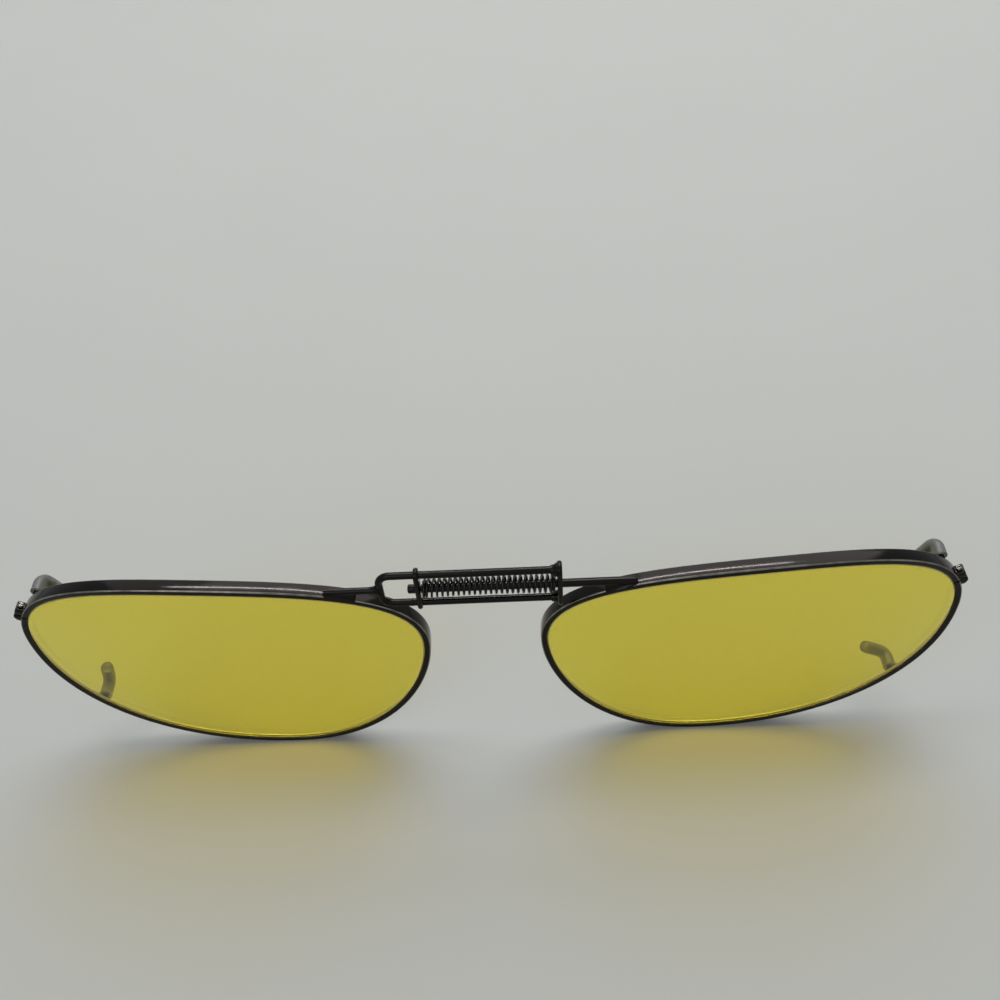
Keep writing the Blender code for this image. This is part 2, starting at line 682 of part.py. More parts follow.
def make_bridge(metal, steel):
    bridge = bridge_places()
    loop_path = loop_points(bridge)
    link_part("guide_loop", shade(wire_mesh("guide_loop", loop_path, RAIL_RADIUS, 3)), metal)

    inner_end = bridge["loop_x"]
    stem_profile = [
        (0.0, 0.0, inner_end),
        (STEM_FLARE_RADIUS, 0.0, inner_end),
        (STEM_RADIUS, 0.0, inner_end - STEM_FLARE_LENGTH),
        (STEM_RADIUS, 0.0, -bridge["end_x"]),
        (0.0, 0.0, -bridge["end_x"]),
    ]
    stem = seated_bar("guide_stem", stem_profile, metal, STEM_FOOT_LENGTH, STEM_FOOT_WIDTH, "left", bridge)
    saddle = wire_mesh("guide_stem_saddle", loop_path, RAIL_RADIUS + SEAT_CLEARANCE, 3)
    boolean(stem, make_cutter("guide_stem_saddle", saddle), "DIFFERENCE")

    make_plate("fixed_end_plate", bridge["fixed_x"], FIXED_PLATE_END_RADIUS, SEAT_CLEARANCE,
               ROD_RADIUS + RUNNING_CLEARANCE, metal, bridge)
    make_plate("slider_plate", bridge["slider_x"], SLIDER_END_RADIUS, RUNNING_CLEARANCE,
               ROD_TENON_RADIUS + SEAT_CLEARANCE, metal, bridge)

    head_face = bridge["slider_x"] - PLATE_THICKNESS / 2.0 - SEAT_CLEARANCE
    rod_start = head_face - HEAD_LENGTH + HEAD_CAP + SEAT_CLEARANCE
    shoulder = bridge["slider_x"] + PLATE_THICKNESS / 2.0 + SEAT_CLEARANCE
    rod_profile = [
        (0.0, 0.0, bridge["end_x"]),
        (ROD_RADIUS, 0.0, bridge["end_x"]),
        (ROD_RADIUS, 0.0, shoulder),
        (ROD_TENON_RADIUS, 0.0, shoulder),
        (ROD_TENON_RADIUS, 0.0, rod_start),
        (0.0, 0.0, rod_start),
    ]
    seated_bar("pull_rod", rod_profile, metal, ROD_FOOT_LENGTH, ROD_FOOT_WIDTH, "right", bridge)
    bore = ROD_TENON_RADIUS + SEAT_CLEARANCE
    profile = [
        (0.0, 0.0, HEAD_LENGTH - HEAD_CAP),
        (bore, 0.0, HEAD_LENGTH - HEAD_CAP),
        (bore, 0.0, 0.0),
        (HEAD_RADIUS, 0.0, 0.0),
        (HEAD_RADIUS, 0.0, HEAD_LENGTH - HEAD_CHAMFER),
        (HEAD_RADIUS - HEAD_CHAMFER, 0.0, HEAD_LENGTH),
        (0.0, 0.0, HEAD_LENGTH),
    ]
    head_place = Vector((head_face, bridge["axis_y"], bridge["axis_z"]))
    turned_piece("rod_head", profile[::-1], metal, along_x(head_place) @ Matrix.Rotation(math.pi, 4, "X"),
                 ROUND_SIDES)

    coil = wire_mesh("spring", spring_points(bridge), SPRING_WIRE_RADIUS)
    link_part("spring", shade(coil), steel)
    return bridge


# Assembly

def make_empty(name, place_at):
    empty = bpy.data.objects.new(name, None)
    bpy.data.collections[PART_COLLECTION].objects.link(empty)
    empty.matrix_world = Matrix.Translation(place_at)
    return empty


def gather(bridge):
    """Hang the pieces of each half on an empty on the axis of the slide."""
    axis_place = Vector((0.0, bridge["axis_y"], bridge["axis_z"]))
    left = make_empty("left_half", axis_place)
    right = make_empty("right_half", axis_place)
    moving = ("right_", "pull_rod", "slider_plate", "rod_head")
    for item in list(bpy.data.collections[PART_COLLECTION].objects):
        if item.type == "EMPTY":
            continue
        placed = item.matrix_world.copy()
        item.parent = right if item.name.startswith(moving) else left
        item.matrix_parent_inverse = Matrix.Translation(-axis_place)
        item.matrix_world = placed


def main():
    clear_scene()
    make_collection(PART_COLLECTION)
    make_collection(CUTTER_COLLECTION)
    metal = make_material("gunmetal_plate", (0.028, 0.028, 0.031), 0.24, 1.0)
    steel = make_material("spring_steel", (0.05, 0.05, 0.052), 0.3, 1.0)
    nickel = make_material("nickel_screw", (0.45, 0.44, 0.42), 0.25, 1.0)
    tint = make_material("yellow_lens", (0.74, 0.66, 0.06), 0.03, 0.0, 0.9, 0.6)
    clear = make_material("clear_sleeve", (0.55, 0.55, 0.5), 0.25, 0.0, 0.7, 0.7)
    for side in SIDES:
        make_rim(side, metal)
        make_lens(side, tint)
        make_closing(side, metal, nickel)
        for level in ("upper", "lower"):
            make_claw(side, level, metal, clear)
    gather(make_bridge(metal, steel))


main()
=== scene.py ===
"""Looks of spring-bridge clip-on lenses: rims, tinted lenses, bridge, spring, claws and a plain stage."""

import json
import math

import bmesh
import bpy
import numpy as np
from bpy.props import FloatProperty, FloatVectorProperty, IntProperty, PointerProperty
from mathutils import Matrix, Vector
from mathutils.geometry import interpolate_bezier

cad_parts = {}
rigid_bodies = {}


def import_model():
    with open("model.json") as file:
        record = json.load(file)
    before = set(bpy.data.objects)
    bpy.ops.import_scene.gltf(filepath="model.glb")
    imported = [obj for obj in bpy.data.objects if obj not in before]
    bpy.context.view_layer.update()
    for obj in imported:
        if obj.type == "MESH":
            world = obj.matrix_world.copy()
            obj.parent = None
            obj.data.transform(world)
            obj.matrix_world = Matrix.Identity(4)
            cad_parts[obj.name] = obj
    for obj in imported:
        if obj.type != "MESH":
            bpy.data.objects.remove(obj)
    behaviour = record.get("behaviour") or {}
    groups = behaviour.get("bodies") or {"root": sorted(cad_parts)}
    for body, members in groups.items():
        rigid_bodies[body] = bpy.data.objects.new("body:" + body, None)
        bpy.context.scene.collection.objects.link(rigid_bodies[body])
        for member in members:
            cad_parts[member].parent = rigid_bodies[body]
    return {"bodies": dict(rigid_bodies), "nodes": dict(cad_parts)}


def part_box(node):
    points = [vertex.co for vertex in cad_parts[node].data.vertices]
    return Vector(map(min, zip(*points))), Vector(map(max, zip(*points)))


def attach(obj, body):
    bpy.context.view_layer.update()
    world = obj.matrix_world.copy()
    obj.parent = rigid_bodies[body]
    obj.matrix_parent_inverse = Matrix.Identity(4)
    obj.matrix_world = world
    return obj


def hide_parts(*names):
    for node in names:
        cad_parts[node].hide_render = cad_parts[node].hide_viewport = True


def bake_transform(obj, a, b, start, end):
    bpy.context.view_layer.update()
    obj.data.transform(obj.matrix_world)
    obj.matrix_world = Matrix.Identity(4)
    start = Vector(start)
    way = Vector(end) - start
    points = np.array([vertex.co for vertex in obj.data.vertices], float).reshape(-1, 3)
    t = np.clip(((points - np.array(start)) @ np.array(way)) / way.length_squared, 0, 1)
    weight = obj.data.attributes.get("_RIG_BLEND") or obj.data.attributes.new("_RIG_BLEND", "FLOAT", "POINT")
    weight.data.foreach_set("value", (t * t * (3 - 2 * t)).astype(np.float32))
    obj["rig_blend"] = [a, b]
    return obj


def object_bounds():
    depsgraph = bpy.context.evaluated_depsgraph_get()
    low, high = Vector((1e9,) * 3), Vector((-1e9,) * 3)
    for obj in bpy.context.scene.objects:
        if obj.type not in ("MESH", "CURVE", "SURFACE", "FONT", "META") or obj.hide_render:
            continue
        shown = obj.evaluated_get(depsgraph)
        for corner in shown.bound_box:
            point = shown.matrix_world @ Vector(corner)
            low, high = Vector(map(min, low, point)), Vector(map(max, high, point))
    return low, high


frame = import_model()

bl_info = {
    "name": "Clip-on Lens Looks",
    "version": (1, 0, 0),
    "blender": (4, 5, 0),
    "location": "View3D > Sidebar > Clip-on",
    "description": "Builds the finished rims, lenses, spring bridge and claws of clip-on lenses",
    "category": "Object",
}

CAD_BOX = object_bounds()

LEFT_BODY = "left_half"
RIGHT_BODY = "right_half"
BODIES = {"left": LEFT_BODY, "right": RIGHT_BODY}
SIDES = {"left": -1.0, "right": 1.0}
LEVELS = ("upper", "lower")
METAL = "black_nickel_plating_polished"

RIGHT = Vector((1.0, 0.0, 0.0))
BACK = Vector((0.0, 1.0, 0.0))
UP = Vector((0.0, 0.0, 1.0))
QUARTER_TURN = math.pi / 2.0

# A drawing in the XY plane stands up to face the viewer
FACE_FRAME = Matrix.Rotation(QUARTER_TURN, 4, "X")
# What is drawn along Z lies along X, with its own X to the back and its own Y up
ALONG_X = Matrix((UP, RIGHT, BACK)).to_4x4()

# Sides of round sections
TUBE_SIDES = 32
CLAW_SIDES = 24
SLEEVE_SIDES = 28
LOOP_SIDES = 28
SCREW_SIDES = 40
SPRING_SIDES = 10
SPRING_POINTS_PER_TURN = 28

# Steps along curved forms
CORNER_STEPS = 4
BEND_STEPS = 20
PLATE_END_STEPS = 24
PLATE_EDGE_STEPS = 2
SLEEVE_TIP_STEPS = 10
ROD_END_STEPS = 5
HEAD_STEPS = 8
HOLLOW_STEPS = 8
FOOT_COLUMNS = 14
FOOT_ROWS = 6

# Power that crowds the rings of a lens towards its edge
RING_CROWDING = 0.6
# Power that keeps the widening of a braze foot near the rim
FOOT_FLARE = 3
# How much of the plating the outer and inner edges of a rim have lost, which also sets how much painted
# highlight line they carry
OUTER_WEAR_AND_HIGHLIGHT = 1.0
INNER_WEAR_AND_HIGHLIGHT = 0.25
# Rounding of the cut end of the rod
ROD_END_ROUND = 0.00012
LENS_IOR = 1.5
VINYL_IOR = 1.45
# Share of the light that each polished face throws back, for plastic near IOR 1.5
SURFACE_LOSS = 0.045
# Where a mix node of colours takes its two colours
MIX_FIRST = 6
MIX_SECOND = 7
# Half the side of the floor, far enough out that its end lies on the horizon
FLOOR_HALF_SIZE = 12.0
# Room between the rim and what is brazed to it, and how far the cutter for it reaches
KEEPOUT_ROOM = 0.00001
KEEPOUT_DEPTH = 0.02

WELD_DISTANCE = 1e-7
END_RING_DEPTH = 1e-5
SMOOTH_ANGLE = math.radians(40.0)
# Cosine above which two directions are too close to span a section
NEARLY_PARALLEL = 0.95

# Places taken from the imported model
ROD_LOW, ROD_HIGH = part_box("pull_rod")
HEAD_LOW, HEAD_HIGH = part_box("rod_head")
FIXED_LOW, FIXED_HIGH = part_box("fixed_end_plate")
SLIDER_LOW, SLIDER_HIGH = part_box("slider_plate")
LOOP_LOW, LOOP_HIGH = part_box("guide_loop")
STEM_LOW, STEM_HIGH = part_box("guide_stem")
SPRING_LOW, SPRING_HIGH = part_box("spring")
AXIS_Y = (HEAD_LOW.y + HEAD_HIGH.y) / 2.0
AXIS_Z = (HEAD_LOW.z + HEAD_HIGH.z) / 2.0
AXIS = Vector((0.0, AXIS_Y, AXIS_Z))
# The fixed plate's own thickness equals the slider's, and its box also holds the fillets
FIXED_PLATE_LOW = Vector((FIXED_HIGH.x - (SLIDER_HIGH.x - SLIDER_LOW.x), FIXED_LOW.y, FIXED_LOW.z))

# Lamps: place, the point they face, size, watts and colour
LAMPS = {
    "key_light": ((0.10, 0.45, 0.62), (0.0, 0.0, 0.0), (0.7, 0.5), 1.6, "#ffffff"),
    "rear_softbox": ((0.0, 0.75, 0.75), (0.0, 0.0, 0.0), (1.4, 0.6), 2.0, "#fbfdff"),
    "overhead_softbox": ((-0.05, 0.20, 0.85), (0.0, 0.0, 0.0), (0.7, 0.2), 1.5, "#ffffff"),
    "glint_strip": ((-0.05, 0.415, 0.606), (-0.05, 0.0, 0.0), (0.48, 0.016), 1.2, "#ffffff"),
    "front_fill": ((-0.875, -1.5, 1.5), (0.0, 0.0, 0.0), (1.25, 1.25), 5.6, "#f4f7ff"),
}
BACKDROP = "#dfe3e4"
SENSOR_WIDTH = 36.0
NEAREST_SEEN = 0.001


# Colours and node trees

def linear(hex_code):
    """Linear RGB of an sRGB hex colour."""
    values = [int(hex_code[start:start + 2], 16) / 255.0 for start in (1, 3, 5)]
    return tuple(v / 12.92 if v <= 0.04045 else ((v + 0.055) / 1.055) ** 2.4 for v in values)


def rgba(tone, level=1.0):
    """Opaque colour at a level of its brightness."""
    return (*[level * value for value in tone], 1.0)


def feed(tree, node, inputs):
    """Inputs of a node from plain values, from sockets, or from the first output in use of other nodes."""
    for key, source in inputs.items():
        if isinstance(source, bpy.types.Node):
            source = next(socket for socket in source.outputs if socket.enabled)
        if isinstance(source, bpy.types.NodeSocket):
            tree.links.new(source, node.inputs[key])
        else:
            node.inputs[key].default_value = source


def add_node(tree, kind, inputs=None, **values):
    """One node with its settings and its inputs."""
    node = tree.nodes.new(kind)
    for name, value in values.items():
        setattr(node, name, value)
    feed(tree, node, inputs or {})
    return node


# Settings that a user would change

def length(default, description):
    return FloatProperty(description=description, default=default, min=-1.0, max=1.0, unit="LENGTH",
                         precision=5)


def share(default, description):
    return FloatProperty(description=description, default=default, min=0.0, max=1.0, subtype="FACTOR")


def direction(degrees, description):
    return FloatProperty(description=description, default=math.radians(degrees), subtype="ANGLE")


def amount(default, description):
    return FloatProperty(description=description, default=default, min=0.0)


def colour(hex_code, description):
    return FloatVectorProperty(description=description, default=linear(hex_code), size=3, min=0.0, max=1.0,
                               subtype="COLOR")


def count(default, description):
    return IntProperty(description=description, default=default, min=3, max=2000)


class EyeShapeSettings(bpy.types.PropertyGroup):
    """Outline of the eye at the inner wall of the rim, and the curve of the lens"""
    width: length(0.0542, "Width of the opening of a rim")
    height: length(0.0351, "Height of the opening of a rim")
    top_shift: length(0.0048, "How far outboard the highest point lies")
    bottom_shift: length(-0.0060, "How far outboard the lowest point lies")
    nasal_height: length(0.0045, "Height of the point nearest the nose")
    temporal_height: length(0.0060, "Height of the outermost point")
    upper_temporal: share(0.69, "How square the upper outer corner is")
    upper_nasal: share(0.65, "How square the upper inner corner is")
    nose_side: share(0.32, "How straight the outline runs down the nose")
    cheek: share(0.71, "How far the outline runs flat under the cheek")
    lower_temporal: share(0.60, "How square the lower outer corner is")
    rim_gap: length(0.0150, "Gap between the rims at the nose")
    base_radius: length(0.150, "Radius of the lens curve")
    apex_inset: length(0.0055, "How far inboard the apex of the curve lies")
    outline_steps: count(90, "Points on each quarter of the outline")


class RimSettings(bpy.types.PropertyGroup):
    """Section of the rims, closing blocks and screws"""
    recess: length(0.0001, "How far the rim stands proud of the lens on either side")
    groove: length(0.00042, "Depth of the V groove, and half its width")
    wall: length(0.00043, "Metal outside the groove")
    outer_round: length(0.00020, "Rounding of the outer edges")
    inner_round: length(0.00008, "Rounding of the inner edges")
    groove_round: length(0.00003, "Rounding inside the groove")
    segments: count(320, "Sections along a rim")
    slit: length(0.0002, "Gap between the ends of a rim")
    closing_rise: length(0.0045, "Height of the slit above the outermost point")
    block_reach: length(0.0010, "How far a closing block stands out")
    block_root: length(0.0004, "How far a block is let into the curve of the rim")
    block_depth: length(0.0016, "Depth of a closing block")
    block_length: length(0.0011, "Length of a closing block along the rim")
    block_round: length(0.00022, "Rounding of a closing block")
    block_slope: length(0.0005, "How much of the lower block's outer corner runs into the rim")
    screw_out: length(0.00043, "How far outside the rim the screw lies")
    screw_radius: length(0.00026, "Radius of the shank of a closing screw")
    screw_bite: length(0.0006, "How far the screw goes into the lower block")
    head_radius: length(0.00042, "Radius of the head of a closing screw")
    head_height: length(0.0004, "Height of the head of a closing screw")
    head_round: length(0.00012, "Rounding of the head of a closing screw")
    slot: length(0.00016, "Width and depth of the slot")
    seat: length(0.00006, "Room at a brazed or screwed seat")
    metal: colour("#252322", "Polished plating of rims, bridge and claws")
    # Lighter than worn nickel alone, so that the rim edges also carry a painted highlight line
    worn_and_highlight_metal: colour("#b3ada2", "Metal that shows where the plating is thin")
    screw_metal: colour("#6f6b64", "Dulled nickel of the screws")


class LensSettings(bpy.types.PropertyGroup):
    """Tinted lenses"""
    thickness: length(0.0018, "Thickness of a lens")
    edge_clearance: length(0.00008, "Room round a lens in the rim")
    edge_break: length(0.00012, "Width of the small chamfer on both faces of a lens")
    segments: count(288, "Points round the edge of a lens")
    rings: count(22, "Rings of a lens between its middle and its edge")
    tint: colour("#f5e651", "What each face of a lens lets through")
    ground: colour("#d9cf9a", "Frosted edge of a lens")
    dust_band: share(0.12, "Share of the lens, in from its edge, where dust gathers")


class ClawSettings(bpy.types.PropertyGroup):
    """Claws and their clear sleeves"""
    radius: length(0.00042, "Radius of the claw wire")
    bend: length(0.0011, "Radius of the bend")
    reach: length(0.0028, "How far back the hook lies")
    hook: length(0.0019, "Straight length after the bend")
    sleeve_wall: length(0.0004, "Wall of the clear sleeve")
    sleeve_room: length(0.00006, "Room between wire and sleeve")
    sleeve_base: length(0.0004, "Bare wire between rim and sleeve")
    sleeve_tip: length(0.0011, "Sleeve past the end of the wire")
    left_upper: direction(-60.0, "Where this tip points, from inboard towards up")
    left_lower: direction(80.0, "Where this tip points, from inboard towards up")
    right_upper: direction(-60.0, "Where this tip points, from inboard towards up")
    right_lower: direction(25.0, "Where this tip points, from inboard towards up")
    vinyl: colour("#a9a8a2", "Soft cloudy sleeves")


class BridgeSettings(bpy.types.PropertyGroup):
    """Spring bridge"""
    rod_radius: length(0.00056, "Radius of the pull rod")
    tenon_radius: length(0.00032, "Radius of the rod's end in the slider and the head")
    stem_radius: length(0.00046, "Radius of the guide stem")
    stem_flare: length(0.0009, "Radius of the stem where it meets the loop")
    flare_length: length(0.0016, "Length of the flare of the stem")
    loop_corner: length(0.0015, "Bend radius of the loop at its closed end")
    rail_radius: length((LOOP_HIGH.y - LOOP_LOW.y) / 2.0, "Radius of the loop wire")
    foot_length: length(0.0040, "Length of the braze under rod and stem")
    foot_width: length(0.0009, "Width of the braze at the bar")
    foot_spread: length(0.0007, "How much wider the braze is on the rim")
    running: length(0.00008, "Room round a sliding rod or rail")
    plate_round: length(0.00026, "Rounding of the edges of both plates")
    fillet_radius: length(0.00098, "Radius of the solder fillets on the fixed plate")
    fillet_length: length(0.0008, "Length of the solder fillets")
    head_round: length(0.00022, "Rounding of the rod head")
    wire_radius: length(0.00016, "Radius of the spring wire")
    turns: amount(26.0, "Turns of the spring")
    closed_turns: amount(1.5, "Turns wound close together at each end")
    closed_pitch: length(0.00035, "Pitch of the closed turns")
    bow: length(0.00025, "How far the middle of the spring stands above the rod's axis")
    spring_steel: colour("#323132", "Dark drawn spring wire")


class StageSettings(bpy.types.PropertyGroup):
    """Camera, floor and light"""
    elevation: direction(46.947, "How far the camera looks down")
    yaw: direction(-3.45, "How far the camera looks to the side")
    roll: direction(-4.97, "How far the camera is tilted")
    eye_point: FloatVectorProperty(default=(0.00879, -0.08512, 0.12444), subtype="TRANSLATION",
                                   description="Where the camera stands")
    focal: amount(38.95, "Focal length in millimetres on a 36 mm sensor")
    world_light: share(0.24, "Strength of the backdrop as a light")
    world_seen: share(0.72, "Strength of the backdrop where it shows, also in metal and glass")
    floor: colour("#dcddd8", "Plain pale floor")


SETTINGS = {
    "clip_eye": EyeShapeSettings,
    "clip_rim": RimSettings,
    "clip_lens": LensSettings,
    "clip_claw": ClawSettings,
    "clip_bridge": BridgeSettings,
    "clip_stage": StageSettings,
}


def settings(name):
    return getattr(bpy.context.scene, name)


# Meshes and pieces

def mesh_from(name, shape):
    """Mesh of a bmesh, merged, with its faces turned outwards and smooth up to its sharp edges."""
    mesh = bpy.data.meshes.new(name)
    bmesh.ops.remove_doubles(shape, verts=shape.verts, dist=WELD_DISTANCE)
    bmesh.ops.recalc_face_normals(shape, faces=shape.faces)
    shape.to_mesh(mesh)
    shape.free()
    return smooth(mesh)


def smooth(mesh):
    mesh.shade_smooth()
    mesh.set_sharp_from_angle(angle=SMOOTH_ANGLE)
    return mesh


def cleaned(name, mesh):
    """The same as mesh_from, for a mesh that a tree, a curve or a boolean has made."""
    shape = bmesh.new()
    shape.from_mesh(mesh)
    return mesh_from(name, shape)


def evaluated_mesh(item):
    """Plain mesh of an object with its modifiers, which are then removed with the object."""
    graph = bpy.context.evaluated_depsgraph_get()
    mesh = bpy.data.meshes.new_from_object(item.evaluated_get(graph))
    bpy.data.objects.remove(item, do_unlink=True)
    return mesh


def link_object(name, data):
    item = bpy.data.objects.new(name, data)
    bpy.context.scene.collection.objects.link(item)
    return item


def piece(name, mesh, material, body, slot, *nodes):
    """A finished piece that rides on a body and stands for its solids; no material keeps the mesh's own."""
    if material is not None:
        mesh.materials.clear()
        mesh.materials.append(material)
    item = link_object(name, mesh)
    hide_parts(*nodes)
    if body is not None:
        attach(item, body)
    return item


def combine(name, mesh, others, operation):
    """Boolean of a mesh with several others, as a plain mesh."""
    item = link_object(name, mesh)
    tools = []
    for number, other in enumerate(others):
        tool = link_object(f"{name}_tool_{number}", other)
        tool.hide_render = True
        modifier = item.modifiers.new(f"{operation}_{number}", "BOOLEAN")
        modifier.operation = operation
        modifier.solver = "EXACT"
        modifier.object = tool
        tools.append(tool)
    result = evaluated_mesh(item)
    for tool in tools:
        bpy.data.objects.remove(tool, do_unlink=True)
    return cleaned(name, result)


def poly_curve(name, points):
    curve = bpy.data.curves.new(name, "CURVE")
    curve.dimensions = "3D"
    spline = curve.splines.new("POLY")
    spline.points.add(len(points) - 1)
    for index, point in enumerate(points):
        spline.points[index].co = (*point, 1.0)
    return curve


def tube(name, rings, sides=TUBE_SIDES):
    """Closed skin over round sections, given as centre, direction and radius; a radius of 0 is a pole."""
    shape = bmesh.new()
    across = BACK
    previous = None
    for centre, way, radius in rings:
        forward = Vector(way).normalized()
        if abs(forward.dot(across)) > NEARLY_PARALLEL:
            across = UP
        across = (across - forward * across.dot(forward)).normalized()
        second = forward.cross(across)
        row = []
        for step in range(sides if radius > 0.0 else 1):
            angle = 2.0 * math.pi * step / sides
            spoke = across * math.cos(angle) + second * math.sin(angle)
            row.append(shape.verts.new(centre + radius * spoke))
        if previous is not None:
            for step in range(sides):
                after = (step + 1) % sides
                corners = [previous[step % len(previous)], previous[after % len(previous)],
                           row[after % len(row)], row[step % len(row)]]
                unique = list(dict.fromkeys(corners))
                if len(unique) > 2:
                    shape.faces.new(unique)
        previous = row
    return mesh_from(name, shape)


def turned(name, profile, centre=AXIS, along=RIGHT):
    """Solid of revolution about a straight line, from pairs of place along it and radius."""
    return tube(name, [(centre + along * place_on, along, radius) for place_on, radius in profile])


def plain_bar(low, high, radius):
    """Profile of a cylinder."""
    return ((low, 0.0), (low, radius), (high, radius), (high, 0.0))


def rounded_end(end, way, radius, rounding, steps):
    """Profile of a rounded edge and flat end, which faces along the line for +1 and against it for -1."""
    profile = []
    for step in range(1, steps + 1):
        turn = QUARTER_TURN * step / steps
        profile.append((end - way * rounding * (1.0 - math.sin(turn)),
                        radius - rounding * (1.0 - math.cos(turn))))
    return profile + [(end, 0.0)]


def hollow_cone(wide_end, wide, thin_end, thin):
    """Profile that narrows in a hollow curve, without its first ring."""
    parts = [step / HOLLOW_STEPS for step in range(1, HOLLOW_STEPS + 1)]
    return [(wide_end + (thin_end - wide_end) * part, thin + (wide - thin) * (1.0 - part) ** 2)
            for part in parts]


# Geometry Nodes trees

def start_tree(name, **labels):
    """Tree with a geometry, inputs listed by kind of socket and a material, and its group input's sockets."""
    tree = bpy.data.node_groups.new(name, "GeometryNodeTree")
    tree.interface.new_socket("Geometry", in_out="OUTPUT", socket_type="NodeSocketGeometry")
    for kind, names in {"Geometry": ("Geometry",), **labels, "Material": ("Material",)}.items():
        for label in names:
            tree.interface.new_socket(label, in_out="INPUT", socket_type="NodeSocket" + kind)
    return tree, tree.nodes.new("NodeGroupInput").outputs


def end_tree(tree, geometry, material):
    shaded = add_node(tree, "GeometryNodeSetShadeSmooth", {"Geometry": geometry})
    real = add_node(tree, "GeometryNodeRealizeInstances", {"Geometry": shaded})
    painted = add_node(tree, "GeometryNodeSetMaterial", {"Geometry": real, "Material": material})
    add_node(tree, "NodeGroupOutput", {"Geometry": painted})
    return tree


def run_tree(name, data, tree, values):
    """Plain mesh of a tree on an object, with its inputs set by their identifiers."""
    item = link_object(name, data)
    modifier = item.modifiers.new(tree.name, "NODES")
    modifier.node_group = tree
    for socket in tree.interface.items_tree:
        if socket.in_out == "INPUT" and socket.name in values:
            modifier[socket.identifier] = values[socket.name]
    return evaluated_mesh(item)


def swept(tree, curve, section):
    """Solid of a section along a curve, closed at its ends."""
    return add_node(tree, "GeometryNodeCurveToMesh",
                    {"Curve": curve, "Profile Curve": section, "Fill Caps": True})


def wire_tree():
    """Round wire along the object's own curve."""
    tree, inputs = start_tree("round_wire", Float=("Radius",), Int=("Sides",))
    ring = add_node(tree, "GeometryNodeCurvePrimitiveCircle",
                    {"Resolution": inputs["Sides"], "Radius": inputs["Radius"]})
    return end_tree(tree, swept(tree, inputs["Geometry"], ring), inputs["Material"])


def rim_tree():
    """Section of another object swept along the object's own flat curve, its X turned outwards."""
    tree, inputs = start_tree("grooved_rim", Object=("Section",))
    section = add_node(tree, "GeometryNodeObjectInfo", {"Object": inputs["Section"]})
    outline = add_node(tree, "GeometryNodeMeshToCurve", {"Mesh": section.outputs["Geometry"]})
    upright = add_node(tree, "GeometryNodeSetCurveNormal", {"Curve": inputs["Geometry"]}, mode="Z_UP")
    return end_tree(tree, swept(tree, upright, outline), inputs["Material"])


def spring_tree():
    """Coil along Z, wound close at both ends and open between them."""
    tree, inputs = start_tree(
        "coil_spring", Int=("Points per turn", "Sides"),
        Float=("Length", "Coil radius", "Wire radius", "Turns", "Closed share", "Closed length"))
    spiral = add_node(tree, "GeometryNodeCurveSpiral", {
        "Resolution": inputs["Points per turn"], "Rotations": inputs["Turns"],
        "Start Radius": inputs["Coil radius"], "End Radius": inputs["Coil radius"], "Height": 0.0})
    place_on = add_node(tree, "GeometryNodeSplineParameter")
    after = add_node(tree, "ShaderNodeMath", {0: 1.0, 1: inputs["Closed share"]}, operation="SUBTRACT")
    open_end = add_node(tree, "ShaderNodeMath", {0: inputs["Length"], 1: inputs["Closed length"]},
                        operation="SUBTRACT")
    open_length = add_node(tree, "ShaderNodeMath", {0: open_end, 1: inputs["Closed length"]},
                           operation="SUBTRACT")
    height = 0.0
    shares = []
    for start, end, rise in ((0.0, inputs["Closed share"], inputs["Closed length"]),
                             (inputs["Closed share"], after, open_length),
                             (after, 1.0, inputs["Closed length"])):
        shares.append(add_node(tree, "ShaderNodeMapRange",
                               {"Value": place_on, "From Min": start, "From Max": end}))
        height = add_node(tree, "ShaderNodeMath", {0: shares[-1], 1: rise, 2: height},
                          operation="MULTIPLY_ADD")
    lift = add_node(tree, "ShaderNodeCombineXYZ", {"Z": height})
    wound = add_node(tree, "GeometryNodeSetPosition", {"Geometry": spiral, "Offset": lift})
    marked = add_node(tree, "GeometryNodeStoreNamedAttribute",
                      {"Geometry": wound, "Name": "open_share", "Value": shares[1]},
                      data_type="FLOAT", domain="POINT")
    ring = add_node(tree, "GeometryNodeCurvePrimitiveCircle",
                    {"Resolution": inputs["Sides"], "Radius": inputs["Wire radius"]})
    return end_tree(tree, swept(tree, marked, ring), inputs["Material"])


